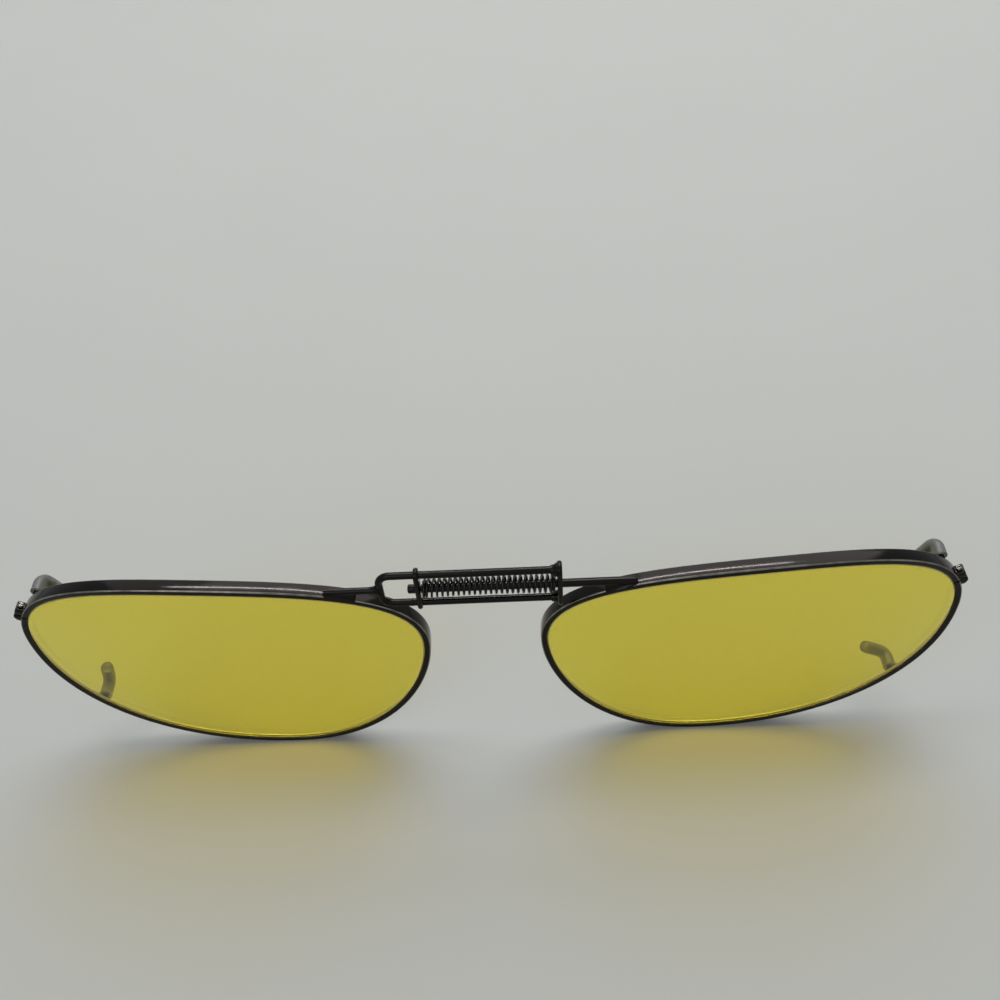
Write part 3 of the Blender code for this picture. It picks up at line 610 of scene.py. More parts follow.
def slotted_screw_tree():
    """Slotted screws on the object's own points, each with its shank along Z and its head on top."""
    tree, inputs = start_tree(
        "slotted_screws", Int=("Sides",),
        Float=("Shank radius", "Shank length", "Head radius", "Head height", "Rounding", "Slot"))
    half_shank = add_node(tree, "ShaderNodeMath", {0: inputs["Shank length"], 1: -0.5}, operation="MULTIPLY")
    straight = add_node(tree, "ShaderNodeMath", {0: inputs["Head height"], 1: inputs["Rounding"]},
                        operation="SUBTRACT")
    half_head = add_node(tree, "ShaderNodeMath", {0: straight, 1: 0.5}, operation="MULTIPLY")
    top_radius = add_node(tree, "ShaderNodeMath", {0: inputs["Head radius"], 1: inputs["Rounding"]},
                          operation="SUBTRACT")
    # The cutter for the slot is twice as long as the head is wide, and stands half out of it
    slot_length = add_node(tree, "ShaderNodeMath", {0: inputs["Head radius"], 1: 4.0}, operation="MULTIPLY")
    slot_height = add_node(tree, "ShaderNodeMath", {0: inputs["Slot"], 1: 2.0}, operation="MULTIPLY")
    slot_size = add_node(tree, "ShaderNodeCombineXYZ",
                         {"X": slot_length, "Y": inputs["Slot"], "Z": slot_height})
    sides = {"Vertices": inputs["Sides"]}
    raised = []
    for kind, height, sizes in (
            ("GeometryNodeMeshCylinder", half_shank,
             {**sides, "Radius": inputs["Shank radius"], "Depth": inputs["Shank length"]}),
            ("GeometryNodeMeshCylinder", half_head,
             {**sides, "Radius": inputs["Head radius"], "Depth": straight}),
            ("GeometryNodeMeshCone", straight,
             {**sides, "Radius Top": top_radius, "Radius Bottom": inputs["Head radius"],
              "Depth": inputs["Rounding"]}),
            ("GeometryNodeMeshCube", inputs["Head height"], {"Size": slot_size})):
        solid = add_node(tree, kind, sizes)
        lift = add_node(tree, "ShaderNodeCombineXYZ", {"Z": height})
        raised.append(add_node(tree, "GeometryNodeTransform", {"Geometry": solid, "Translation": lift}))
    *metal, slot = raised
    body = add_node(tree, "GeometryNodeMeshBoolean", operation="UNION", solver="EXACT")
    for solid in metal:
        feed(tree, body, {"Mesh 2": solid})
    cut = add_node(tree, "GeometryNodeMeshBoolean", {"Mesh 1": body, "Mesh 2": slot},
                   operation="DIFFERENCE", solver="EXACT")
    placed = add_node(tree, "GeometryNodeInstanceOnPoints", {"Points": inputs["Geometry"], "Instance": cut})
    return end_tree(tree, placed, inputs["Material"])


# Eye shape

def eye_outline(offset=0.0):
    """Closed outline of the right eye about its own centre, x outboard, moved outwards by offset."""
    eye = settings("clip_eye")
    temporal = Vector((eye.width / 2.0, eye.temporal_height))
    top = Vector((eye.top_shift, eye.height / 2.0))
    nasal = Vector((-eye.width / 2.0, eye.nasal_height))
    bottom = Vector((eye.bottom_shift, -eye.height / 2.0))
    quarters = (
        (temporal, top, eye.upper_temporal, eye.upper_temporal, True),
        (top, nasal, eye.upper_nasal, eye.upper_nasal, False),
        (nasal, bottom, eye.nose_side, eye.cheek, True),
        (bottom, temporal, eye.lower_temporal, eye.lower_temporal, False),
    )
    points = []
    for start, end, leaving, arriving, upright_first in quarters:
        across = Vector((end.x - start.x, 0.0))
        upright = Vector((0.0, end.y - start.y))
        first = start + leaving * (upright if upright_first else across)
        second = end - arriving * (across if upright_first else upright)
        points.extend(interpolate_bezier(start, first, second, end, eye.outline_steps + 1)[:-1])
    outline = np.array([(p.x, p.y) for p in points])
    tangent = np.roll(outline, -1, axis=0) - np.roll(outline, 1, axis=0)
    tangent /= np.linalg.norm(tangent, axis=1)[:, None]
    normal = np.stack((tangent[:, 1], -tangent[:, 0]), axis=1)
    return outline + offset * normal


def spaced(outline, number, start=0.0, trim=None):
    """Points evenly spaced round a closed outline, open by a trim at both ends where one is given."""
    ring = np.vstack((outline, outline[:1]))
    lengths = np.concatenate(([0.0], np.cumsum(np.linalg.norm(np.diff(ring, axis=0), axis=1))))
    if trim is None:
        places = start + np.linspace(0.0, lengths[-1], number, endpoint=False)
    else:
        places = start + np.linspace(trim, lengths[-1] - trim, number)
    places = np.mod(places, lengths[-1])
    return np.stack([np.interp(places, lengths, ring[:, axis]) for axis in (0, 1)], axis=1)


def closing_place():
    """Length round the outline, point and tangent at the slit of the rim."""
    eye = settings("clip_eye")
    outline = eye_outline()
    height = eye.temporal_height + settings("clip_rim").closing_rise
    index = int(np.searchsorted(outline[:int(np.argmax(outline[:, 1])), 1], height))
    steps = np.linalg.norm(np.diff(outline[:index + 1], axis=0), axis=1)
    tangent = outline[index + 1] - outline[index - 1]
    return float(np.sum(steps)), outline[index], tangent / np.linalg.norm(tangent)


def rim_face():
    """Width of a rim seen from the front."""
    rim = settings("clip_rim")
    return rim.groove + rim.wall


def lens_centre_x():
    eye = settings("clip_eye")
    return eye.rim_gap / 2.0 + rim_face() + eye.width / 2.0


def curve_depth(x, z, shift=0.0):
    """How far back the lens curve lies, x counted outboard from the middle, on a skin shifted forwards."""
    eye = settings("clip_eye")
    distance = math.hypot(x - (lens_centre_x() - eye.apex_inset), z)
    return eye.base_radius - math.sqrt((eye.base_radius + shift) ** 2 - distance ** 2)


def place(side, point, shift=0.0):
    """World point of an outline point about the eye centre."""
    x = lens_centre_x() + point[0]
    return Vector((SIDES[side] * x, curve_depth(x, point[1], shift), point[1]))


def rim_top(x):
    """Height of the outside of a rim at x, counted outboard from the middle, on its upper inner quarter."""
    outer = eye_outline(rim_face())
    top = int(np.argmax(outer[:, 1]))
    nasal = int(np.argmin(outer[:, 0]))
    branch = outer[top:nasal + 1][::-1]
    return float(np.interp(x - lens_centre_x(), branch[:, 0], branch[:, 1]))


# Rims

def rounded_section(corners):
    """Points of a closed section with rounded corners, and how much lighter edge tone each point takes:
    partly wear, partly painted highlight.
    """
    points = []
    wear_and_highlight = []
    number = len(corners)
    for index, (x, y, radius, worn_and_lit) in enumerate(corners):
        corner = Vector((x, y))
        before = (Vector(corners[index - 1][:2]) - corner).normalized()
        after = (Vector(corners[(index + 1) % number][:2]) - corner).normalized()
        half = before.angle(after) / 2.0
        centre = corner + (before + after).normalized() * (radius / math.sin(half))
        reach = radius / math.tan(half)
        first = corner + before * reach - centre
        last = corner + after * reach - centre
        turn = first.angle_signed(last)
        for step in range(CORNER_STEPS + 1):
            part = step / CORNER_STEPS
            angle = turn * part
            spun = Vector((first.x * math.cos(angle) + first.y * math.sin(angle),
                           first.y * math.cos(angle) - first.x * math.sin(angle)))
            points.append(centre + spun)
            wear_and_highlight.append(worn_and_lit * math.sqrt(math.sin(math.pi * part)))
    return points, wear_and_highlight


def rim_section():
    """Section of a rim as a closed chain of points: x outwards from the inner wall, y to the back."""
    rim = settings("clip_rim")
    half_depth = settings("clip_lens").thickness / 2.0 + rim.recess
    face = rim_face()
    points, wear_and_highlight = rounded_section((
        (0.0, -half_depth, rim.inner_round, INNER_WEAR_AND_HIGHLIGHT),
        (face, -half_depth, rim.outer_round, OUTER_WEAR_AND_HIGHLIGHT),
        (face, half_depth, rim.outer_round, OUTER_WEAR_AND_HIGHLIGHT),
        (0.0, half_depth, rim.inner_round, INNER_WEAR_AND_HIGHLIGHT),
        (0.0, rim.groove, rim.groove_round, 0.0),
        (rim.groove, 0.0, rim.groove_round, 0.0),
        (0.0, -rim.groove, rim.groove_round, 0.0),
    ))
    mesh = bpy.data.meshes.new("rim_section")
    chain = [(i, (i + 1) % len(points)) for i in range(len(points))]
    mesh.from_pydata([(p.x, p.y, 0.0) for p in points], chain, [])
    # Share of the lighter edge tone at each point: partly wear, partly painted highlight
    mesh.attributes.new("edge_wear_and_highlight", "FLOAT", "POINT").data.foreach_set("value", wear_and_highlight)
    return mesh


def make_rim(side, tree, material):
    rim = settings("clip_rim")
    name = side + "_rim_wire"
    start, _, _ = closing_place()
    outline = spaced(eye_outline(), rim.segments, start, rim.slit / 2.0)
    if side == "left":
        outline = outline[::-1]
    to_drawing = FACE_FRAME.inverted()
    path = poly_curve(name + "_path", [to_drawing @ place(side, point) for point in outline])
    section = link_object(name + "_section", rim_section())
    mesh = run_tree(name, path, tree, {"Section": section, "Material": material})
    bpy.data.objects.remove(section, do_unlink=True)
    mesh.transform(FACE_FRAME)
    return piece(name, cleaned(name, mesh), material, BODIES[side], "gunmetal_plate", side + "_rim")


# Lenses

def lens_section():
    """Offsets and shares of the half thickness from the face of a lens over its bevelled edge."""
    lens = settings("clip_lens")
    half = lens.thickness / 2.0
    flat = -lens.edge_clearance
    crest = settings("clip_rim").groove - lens.edge_clearance * math.sqrt(2.0)
    shoulder = (crest - flat) / half
    # The chamfer is half as deep as it is wide
    chamfer = 1.0 - 0.5 * lens.edge_break / half
    return ((flat - lens.edge_break, 1.0), (flat, chamfer), (flat, shoulder), (crest, 0.0),
            (flat, -shoulder), (flat, -chamfer), (flat - lens.edge_break, -1.0))


def make_lens(side, material, edge_material):
    """Meniscus lens on rings of the eye shape, ground to a V bevel at its edge."""
    lens = settings("clip_lens")
    name = side + "_tinted_lens"
    half = lens.thickness / 2.0
    section = lens_section()
    inner = spaced(eye_outline(section[0][0]), lens.segments)
    shape = bmesh.new()
    near_layer = shape.verts.layers.float.new("edge_nearness")

    def ring_of(outline, shift, nearness):
        row = [shape.verts.new(place(side, point, shift)) for point in outline]
        for vertex in row:
            vertex[near_layer] = nearness
        return row

    def skin(rows, material_index):
        for first, second in zip(rows, rows[1:]):
            for step in range(lens.segments):
                after = (step + 1) % lens.segments
                face = shape.faces.new((first[step], second[step], second[after], first[after]))
                face.material_index = material_index

    edge_rows = []
    for offset, level in section:
        edge_rows.append(ring_of(spaced(eye_outline(offset), lens.segments), half * level, 1.0))
    skin(edge_rows, 1)
    for edge_row, shift in ((edge_rows[0], half), (edge_rows[-1], -half)):
        middle = shape.verts.new(place(side, (0.0, 0.0), shift))
        rows = []
        for step in range(1, lens.rings):
            part = (step / lens.rings) ** RING_CROWDING
            rows.append(ring_of(inner * part, shift, max(0.0, 1.0 - (1.0 - part) / lens.dust_band)))
        skin(rows + [edge_row], 0)
        for step in range(lens.segments):
            shape.faces.new((middle, rows[0][step], rows[0][(step + 1) % lens.segments]))
    mesh = mesh_from(name, shape)
    mesh.materials.append(material)
    mesh.materials.append(edge_material)
    return piece(name, mesh, None, BODIES[side], "yellow_lens", side + "_lens")


# Closing blocks and screws

def closing_frame(side):
    """Frame at the slit: local Z up along the rim, local X out from it."""
    _, point, tangent = closing_place()
    up = Vector((SIDES[side] * tangent[0], 0.0, tangent[1]))
    out = Vector((SIDES[side] * tangent[1], 0.0, -tangent[0]))
    turn = Matrix((out, up.cross(out), up)).transposed().to_4x4()
    return Matrix.Translation(place(side, point)) @ turn


def rounded_box(name, size, radius, slope=0.0):
    """Box with rounded edges; a slope first cuts the edge between its +X and -Z faces."""
    shape = bmesh.new()
    bmesh.ops.create_cube(shape, size=1.0)
    bmesh.ops.scale(shape, vec=size, verts=shape.verts)
    if slope > 0.0:
        edge = [e for e in shape.edges if all(v.co.x > 0.0 and v.co.z < 0.0 for v in e.verts)]
        bmesh.ops.bevel(shape, geom=edge, offset=slope, segments=1, affect="EDGES")
    bmesh.ops.bevel(shape, geom=shape.edges[:], offset=radius, segments=CORNER_STEPS, profile=0.5,
                    affect="EDGES")
    return mesh_from(name, shape)


def rim_keepout(side, name):
    """Straight-sided solid of the rim's outside, through which nothing on the rim may reach."""
    outline = spaced(eye_outline(rim_face() + KEEPOUT_ROOM), settings("clip_rim").segments)
    shape = bmesh.new()
    rows = []
    for depth in (-KEEPOUT_DEPTH, KEEPOUT_DEPTH):
        rows.append([shape.verts.new((SIDES[side] * (lens_centre_x() + x), depth, z)) for x, z in outline])
    for step in range(len(outline)):
        after = (step + 1) % len(outline)
        shape.faces.new((rows[0][step], rows[0][after], rows[1][after], rows[1][step]))
    for row in rows:
        shape.faces.new(row)
    return mesh_from(name, shape)


def make_closing_block(side, level, material):
    rim = settings("clip_rim")
    name = f"{side}_{level}_closing_lug"
    sign = 1.0 if level == "upper" else -1.0
    slope = 0.0 if level == "upper" else rim.block_slope
    mesh = rounded_box(name, (rim.block_reach + rim.block_root, rim.block_depth, rim.block_length),
                       rim.block_round, slope)
    at = closing_frame(side)
    half_slit = rim.slit / 2.0
    mesh.transform(at @ Matrix.Translation((rim_face() + (rim.block_reach - rim.block_root) / 2.0, 0.0,
                                            sign * (half_slit + rim.block_length / 2.0))))
    # The bore is blind in the lower block and runs out through the top of the upper one
    bore = plain_bar(-(half_slit + rim.screw_bite + rim.seat), 2.0 * rim.block_length,
                     rim.screw_radius + rim.seat)
    hole = turned(name + "_hole", bore, Vector(), UP)
    hole.transform(at @ Matrix.Translation((rim_face() + rim.screw_out, 0.0, 0.0)))
    mesh = combine(name, mesh, [hole, rim_keepout(side, name + "_keepout")], "DIFFERENCE")
    return piece(name, mesh, material, BODIES[side], "gunmetal_plate", f"{side}_closing_block_{level}")


def make_closing_screw(side, tree, material):
    rim = settings("clip_rim")
    name = side + "_slotted_screw"
    spot = bpy.data.meshes.new(name + "_spot")
    spot.from_pydata([(0.0, 0.0, 0.0)], [], [])
    shank = rim.block_length + rim.slit + rim.screw_bite + rim.seat
    mesh = run_tree(name, spot, tree, {
        "Shank radius": rim.screw_radius, "Shank length": shank, "Head radius": rim.head_radius,
        "Head height": rim.head_height, "Rounding": rim.head_round, "Slot": rim.slot, "Sides": SCREW_SIDES,
        "Material": material})
    top = rim.slit / 2.0 + rim.block_length + rim.seat
    mesh.transform(closing_frame(side) @ Matrix.Translation((rim_face() + rim.screw_out, 0.0, top)))
    return piece(name, smooth(mesh), material, BODIES[side], "nickel_screw", side + "_closing_screw")


# Claws

def claw_foot(name):
    """Middle of the foremost ring of points of a claw's solid."""
    mesh = frame["nodes"][name].data
    points = np.empty(3 * len(mesh.vertices))
    mesh.vertices.foreach_get("co", points)
    points = points.reshape(-1, 3)
    near = points[points[:, 1] - points[:, 1].min() < END_RING_DEPTH]
    return Vector((near.min(axis=0) + near.max(axis=0)) / 2.0)


def claw_path(side, level):
    """Path of a claw wire from its foot on the rim, and the direction of its tip."""
    claw = settings("clip_claw")
    base = claw_foot(f"{side}_{level}_claw")
    angle = getattr(claw, f"{side}_{level}")
    tip = Vector((-SIDES[side] * math.cos(angle), 0.0, math.sin(angle)))
    centre = base + BACK * (claw.reach - claw.bend) + tip * claw.bend
    path = [base]
    for step in range(BEND_STEPS + 1):
        turn = QUARTER_TURN * step / BEND_STEPS
        path.append(centre + claw.bend * (BACK * math.sin(turn) - tip * math.cos(turn)))
    path.append(path[-1] + tip * claw.hook)
    return path, tip


def path_rings(path, radius):
    """Sections of one radius along a path, each square to it."""
    ends = [path[0]] + list(path) + [path[-1]]
    return [(point, (ends[index + 2] - ends[index]).normalized(), radius) for index, point in enumerate(path)]


def make_claw(side, level, tree, material):
    name = f"{side}_{level}_claw_wire"
    path, _ = claw_path(side, level)
    mesh = run_tree(name, poly_curve(name, path), tree, {
        "Radius": settings("clip_claw").radius, "Sides": CLAW_SIDES, "Material": material})
    return piece(name, smooth(mesh), material, BODIES[side], "gunmetal_plate", f"{side}_{level}_claw")


def make_sleeve(side, level, material):
    """Clear sleeve with a blind bore and a round tip."""
    claw = settings("clip_claw")
    name = f"{side}_{level}_vinyl_sleeve"
    path, tip = claw_path(side, level)
    bore = claw.radius + claw.sleeve_room
    outer = bore + claw.sleeve_wall
    line = [path[0] + BACK * claw.sleeve_base] + path[1:]
    inner_end = line[-1] + tip * claw.sleeve_room
    outer_end = line[-1] + tip * (claw.sleeve_tip - outer)
    rings = [(inner_end, tip, 0.0), (inner_end, tip, bore)]
    rings += path_rings(line, bore)[::-1]
    rings += path_rings(line, outer)
    for step in range(SLEEVE_TIP_STEPS):
        turn = QUARTER_TURN * step / SLEEVE_TIP_STEPS
        rings.append((outer_end + tip * (outer * math.sin(turn)), tip, outer * math.cos(turn)))
    rings.append((outer_end + tip * outer, tip, 0.0))
    return piece(name, tube(name, rings, SLEEVE_SIDES), material, BODIES[side], "clear_sleeve",
                 f"{side}_{level}_claw_sleeve")


# Spring bridge

def rail_offset():
    """Height of a rail above or below the rod."""
    return (LOOP_HIGH.z - LOOP_LOW.z) / 2.0 - settings("clip_bridge").rail_radius


def loop_path():
    """Path of the guide loop: upper rail, closed end with two bends, lower rail."""
    bridge = settings("clip_bridge")
    offset = rail_offset()
    bend = bridge.loop_corner
    turn_x = LOOP_LOW.x + bridge.rail_radius + bend
    points = [Vector((LOOP_HIGH.x, AXIS_Y, AXIS_Z + offset))]
    for sign, first in ((1.0, QUARTER_TURN), (-1.0, math.pi)):
        for step in range(BEND_STEPS + 1):
            turn = first + QUARTER_TURN * step / BEND_STEPS
            points.append(Vector((turn_x + bend * math.cos(turn), AXIS_Y,
                                  AXIS_Z + sign * (offset - bend) + bend * math.sin(turn))))
    points.append(Vector((LOOP_HIGH.x, AXIS_Y, AXIS_Z - offset)))
    return points


def make_guide_loop(tree, material):
    mesh = run_tree("guide_rails", poly_curve("guide_rails", loop_path()), tree, {
        "Radius": settings("clip_bridge").rail_radius, "Sides": LOOP_SIDES, "Material": material})
    return piece("guide_rails", smooth(mesh), material, LEFT_BODY, "gunmetal_plate", "guide_loop")


def braze_foot(name, side):
    """Fillet of braze from the underside of a bar down to the rim, wider on the rim than at the bar."""
    bridge = settings("clip_bridge")
    seat = settings("clip_rim").seat
    outer_end = STEM_LOW.x if side == "left" else ROD_HIGH.x
    shape = bmesh.new()
    rows = []
    for column in range(FOOT_COLUMNS + 1):
        x = abs(outer_end) - seat - (bridge.foot_length - 2.0 * seat) * column / FOOT_COLUMNS
        low = rim_top(x) + seat
        row = []
        for down in range(FOOT_ROWS + 1):
            part = down / FOOT_ROWS
            z = AXIS_Z - (AXIS_Z - low) * part
            half = bridge.foot_width / 2.0 + bridge.foot_spread / 2.0 * part ** FOOT_FLARE
            row.append([shape.verts.new((SIDES[side] * x, AXIS_Y + sign * half, z)) for sign in (-1.0, 1.0)])
        rows.append(row)
    for first, second in zip(rows, rows[1:]):
        for down in range(FOOT_ROWS):
            for front in (0, 1):
                shape.faces.new((first[down][front], second[down][front], second[down + 1][front],
                                 first[down + 1][front]))
        for down in (0, FOOT_ROWS):
            shape.faces.new((first[down][0], second[down][0], second[down][1], first[down][1]))
    for row in (rows[0], rows[-1]):
        for down in range(FOOT_ROWS):
            shape.faces.new((row[down][0], row[down + 1][0], row[down + 1][1], row[down][1]))
    return mesh_from(name, shape)


def make_guide_stem(material):
    bridge = settings("clip_bridge")
    inner = LOOP_LOW.x + bridge.rail_radius
    bar = [(inner, 0.0), (inner, bridge.stem_flare)]
    bar += hollow_cone(inner, bridge.stem_flare, inner - bridge.flare_length, bridge.stem_radius)
    bar += [(STEM_LOW.x, bridge.stem_radius), (STEM_LOW.x, 0.0)]
    mesh = combine("stem_bar", turned("stem_bar", bar), [braze_foot("stem_foot", "left")], "UNION")
    saddle = path_rings(loop_path(), bridge.rail_radius + settings("clip_rim").seat)
    saddle = [(*saddle[0][:2], 0.0), *saddle, (*saddle[-1][:2], 0.0)]
    mesh = combine("stem_bar", mesh, [tube("stem_saddle", saddle, LOOP_SIDES)], "DIFFERENCE")
    return piece("brazed_stem", mesh, material, LEFT_BODY, "gunmetal_plate", "guide_stem")


def make_pull_rod(material):
    bridge = settings("clip_bridge")
    shoulder = SLIDER_HIGH.x + settings("clip_rim").seat
    bar = [(ROD_LOW.x, 0.0), (ROD_LOW.x, bridge.tenon_radius), (shoulder, bridge.tenon_radius),
           (shoulder, bridge.rod_radius), (ROD_HIGH.x - ROD_END_ROUND, bridge.rod_radius)]
    bar += rounded_end(ROD_HIGH.x, 1.0, bridge.rod_radius, ROD_END_ROUND, ROD_END_STEPS)
    mesh = combine("rod_bar", turned("rod_bar", bar), [braze_foot("rod_foot", "right")], "UNION")
    return piece("brazed_pull_rod", mesh, material, RIGHT_BODY, "gunmetal_plate", "pull_rod")


def plate_mesh(name, low, high, rail_hole, rod_hole, soldered):
    """Upright plate with round ends and rounded edges, pierced for both rails and for the rod."""
    bridge = settings("clip_bridge")
    offset = rail_offset()
    half = (high.x - low.x) / 2.0
    end_radius = (high.y - low.y) / 2.0
    outline = []
    for sign, first in ((1.0, 0.0), (-1.0, math.pi)):
        for step in range(PLATE_END_STEPS + 1):
            angle = first + math.pi * step / PLATE_END_STEPS
            outline.append((end_radius * math.cos(angle), sign * offset + end_radius * math.sin(angle), 0.0))
    curve = poly_curve(name, outline)
    curve.splines[0].use_cyclic_u = True
    curve.dimensions = "2D"
    curve.fill_mode = "BOTH"
    curve.extrude = half - bridge.plate_round
    curve.bevel_depth = bridge.plate_round
    curve.bevel_resolution = PLATE_EDGE_STEPS
    curve.offset = -bridge.plate_round
    solid = cleaned(name, evaluated_mesh(link_object(name, curve)))
    middle_x = (low.x + high.x) / 2.0
    solid.transform(ALONG_X)
    solid.transform(Matrix.Translation((middle_x, AXIS_Y, AXIS_Z)))
    if soldered:
        fillets = [fillet_mesh(middle_x, height) for height in (offset, -offset)]
        solid = combine(name, solid, fillets, "UNION")
    # The holes are cut right through plate and fillets
    span = 4.0 * (half + bridge.fillet_length)
    holes = []
    for height, radius in ((offset, rail_hole), (-offset, rail_hole), (0.0, rod_hole)):
        centre = Vector((middle_x, AXIS_Y, AXIS_Z + height))
        holes.append(turned(f"{name}_hole", plain_bar(-span, span, radius), centre))
    return combine(name, solid, holes, "DIFFERENCE")


def fillet_mesh(plate_x, height):
    """Hollow-sided cone of solder round a rail, on the side of the plate that faces the spring."""
    bridge = settings("clip_bridge")
    thin = bridge.rail_radius + 2.0 * settings("clip_rim").seat
    face = plate_x - FIXED_HIGH.x
    profile = [(0.0, 0.0), (0.0, bridge.fillet_radius)]
    profile += hollow_cone(face, bridge.fillet_radius, face - bridge.fillet_length, thin)
    profile.append((face - bridge.fillet_length, 0.0))
    return turned("solder_fillet", profile, Vector((plate_x, AXIS_Y, AXIS_Z + height)))


def make_plates(material):
    bridge = settings("clip_bridge")
    seat = settings("clip_rim").seat
    fixed = plate_mesh("brazed_end_plate", FIXED_PLATE_LOW, FIXED_HIGH, bridge.rail_radius + seat,
                       bridge.rod_radius + bridge.running, True)
    piece("brazed_end_plate", fixed, material, LEFT_BODY, "gunmetal_plate", "fixed_end_plate")
    slider = plate_mesh("rail_slider", SLIDER_LOW, SLIDER_HIGH, bridge.rail_radius + bridge.running,
                        bridge.tenon_radius + seat, False)
    piece("rail_slider", slider, material, RIGHT_BODY, "gunmetal_plate", "slider_plate")


def make_rod_head(material):
    bridge = settings("clip_bridge")
    seat = settings("clip_rim").seat
    radius = (HEAD_HIGH.y - HEAD_LOW.y) / 2.0
    bore = bridge.tenon_radius + seat
    profile = [(ROD_LOW.x - seat, 0.0), (ROD_LOW.x - seat, bore), (HEAD_HIGH.x, bore), (HEAD_HIGH.x, radius),
               (HEAD_LOW.x + bridge.head_round, radius)]
    profile += rounded_end(HEAD_LOW.x, -1.0, radius, bridge.head_round, HEAD_STEPS)
    return piece("rod_head_cap", turned("rod_head_cap", profile), material, RIGHT_BODY, "gunmetal_plate",
                 "rod_head")


def close_evenly(item):
    """Every open turn takes an equal part of the slide, and the closed turns stay with their plates.
    """
    attributes = item.data.attributes
    shares = np.empty(len(item.data.vertices), np.float32)
    attributes["open_share"].data.foreach_get("value", shares)
    attributes["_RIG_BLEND"].data.foreach_set("value", 1.0 - shares)
    attributes.remove(attributes["open_share"])


def make_spring(tree, material):
    """Coil between the slider and the fixed plate; its ends follow the two halves as they part."""
    bridge = settings("clip_bridge")
    long = SPRING_HIGH.x - SPRING_LOW.x
    mesh = run_tree("bridge_spring", bpy.data.meshes.new("coil_seed"), tree, {
        "Length": long - 2.0 * bridge.wire_radius,
        "Coil radius": (SPRING_HIGH.y - SPRING_LOW.y) / 2.0 - bridge.wire_radius,
        "Wire radius": bridge.wire_radius, "Turns": bridge.turns,
        "Closed share": bridge.closed_turns / bridge.turns,
        "Closed length": bridge.closed_turns * bridge.closed_pitch,
        "Points per turn": SPRING_POINTS_PER_TURN, "Sides": SPRING_SIDES, "Material": material})
    mesh.transform(ALONG_X)
    mesh.transform(Matrix.Translation((SPRING_LOW.x + bridge.wire_radius, AXIS_Y, AXIS_Z)))
    for vertex in mesh.vertices:
        part = (vertex.co.x - SPRING_LOW.x) / long
        vertex.co.z += bridge.bow * math.sin(math.pi * min(1.0, max(0.0, part)))
    item = piece("bridge_spring", smooth(mesh), material, None, "spring_steel", "spring")
    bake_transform(item, LEFT_BODY, RIGHT_BODY, start=(SPRING_HIGH.x, AXIS_Y, AXIS_Z),
             end=(SPRING_LOW.x, AXIS_Y, AXIS_Z))
    close_evenly(item)
    return item


# Materials

def start_material(name, inputs):
    """Material with inputs of its shader set, its tree and the shader."""
    material = bpy.data.materials.new(name)
    material.use_nodes = True
    tree = material.node_tree
    shader = tree.nodes["Principled BSDF"]
    feed(tree, shader, inputs)
    return material, tree, shader


def mottle(tree, shader, grain, detail, tones=None, roughness=None):
    """Noise with a grain in metres, which takes colour and roughness from one value to another."""
    place_of = add_node(tree, "ShaderNodeTexCoord").outputs["Object"]
    noise = add_node(tree, "ShaderNodeTexNoise", {"Vector": place_of, "Scale": 1.0 / grain, "Detail": detail})
    if tones is not None:
        tone = add_node(tree, "ShaderNodeMix", {"Factor": noise, MIX_FIRST: tones[0], MIX_SECOND: tones[1]},
                        data_type="RGBA")
        feed(tree, shader, {"Base Color": tone})
    if roughness is not None:
        rough = add_node(tree, "ShaderNodeMapRange",
                         {"Value": noise, "To Min": roughness[0], "To Max": roughness[1]})
        feed(tree, shader, {"Roughness": rough})


def tinted_shadow(tree, shader, tint):
    """Lets lamps shine through a glass shader with its tint, since a plain glass casts a solid shadow.

    Rays from matt surfaces pass straight through as well, so that no lamp is counted a second time.
    """
    clear = add_node(tree, "ShaderNodeBsdfTransparent", {"Color": rgba(tint, 1.0 - SURFACE_LOSS)})
    rays = add_node(tree, "ShaderNodeLightPath").outputs
    straight = add_node(tree, "ShaderNodeMath", {0: rays["Is Shadow Ray"], 1: rays["Is Diffuse Ray"]},
                        operation="MAXIMUM")
    mixed = add_node(tree, "ShaderNodeMixShader", {0: straight, 1: shader, 2: clear})
    feed(tree, tree.nodes["Material Output"], {"Surface": mixed})


def gunmetal_material():
    """Black-nickel plating, polished: a dark mirror with faint scratches, greyer on its edges where the
    plating is worn and where a highlight line is painted on.
    """
    rim = settings("clip_rim")
    material, tree, shader = start_material(METAL, {"Metallic": 1.0})
    place_of = add_node(tree, "ShaderNodeTexCoord").outputs["Object"]
    # Cloudiness of the plating, 1.5 mm across
    cloud = add_node(tree, "ShaderNodeTexNoise", {"Vector": place_of, "Scale": 1.0 / 0.0015, "Detail": 3.0})
    # Polishing scratches, 0.12 mm apart, drawn coarser than real so that they show
    scratch = add_node(tree, "ShaderNodeTexNoise",
                       {"Vector": place_of, "Scale": 1.0 / 0.00012, "Detail": 2.0})
    worn_and_lit = add_node(tree, "ShaderNodeAttribute", attribute_name="edge_wear_and_highlight").outputs["Fac"]
    wear_and_highlight = add_node(tree, "ShaderNodeMath", {0: worn_and_lit, 1: cloud}, operation="MULTIPLY")
    # Edges take the lighter tone: partly plating worn thin, partly a painted highlight line standing in for
    # the reflection along the rounded edges
    tone = add_node(tree, "ShaderNodeMix", {
        "Factor": wear_and_highlight, MIX_FIRST: rgba(rim.metal), MIX_SECOND: rgba(rim.worn_and_highlight_metal)}, data_type="RGBA")
    rough = add_node(tree, "ShaderNodeMapRange", {
        "Value": cloud, "From Min": 0.3, "From Max": 0.7, "To Min": 0.06, "To Max": 0.13})
    bump = add_node(tree, "ShaderNodeBump", {"Height": scratch, "Strength": 0.06, "Distance": 0.00002})
    feed(tree, shader, {"Base Color": tone, "Roughness": rough, "Normal": bump})
    return material


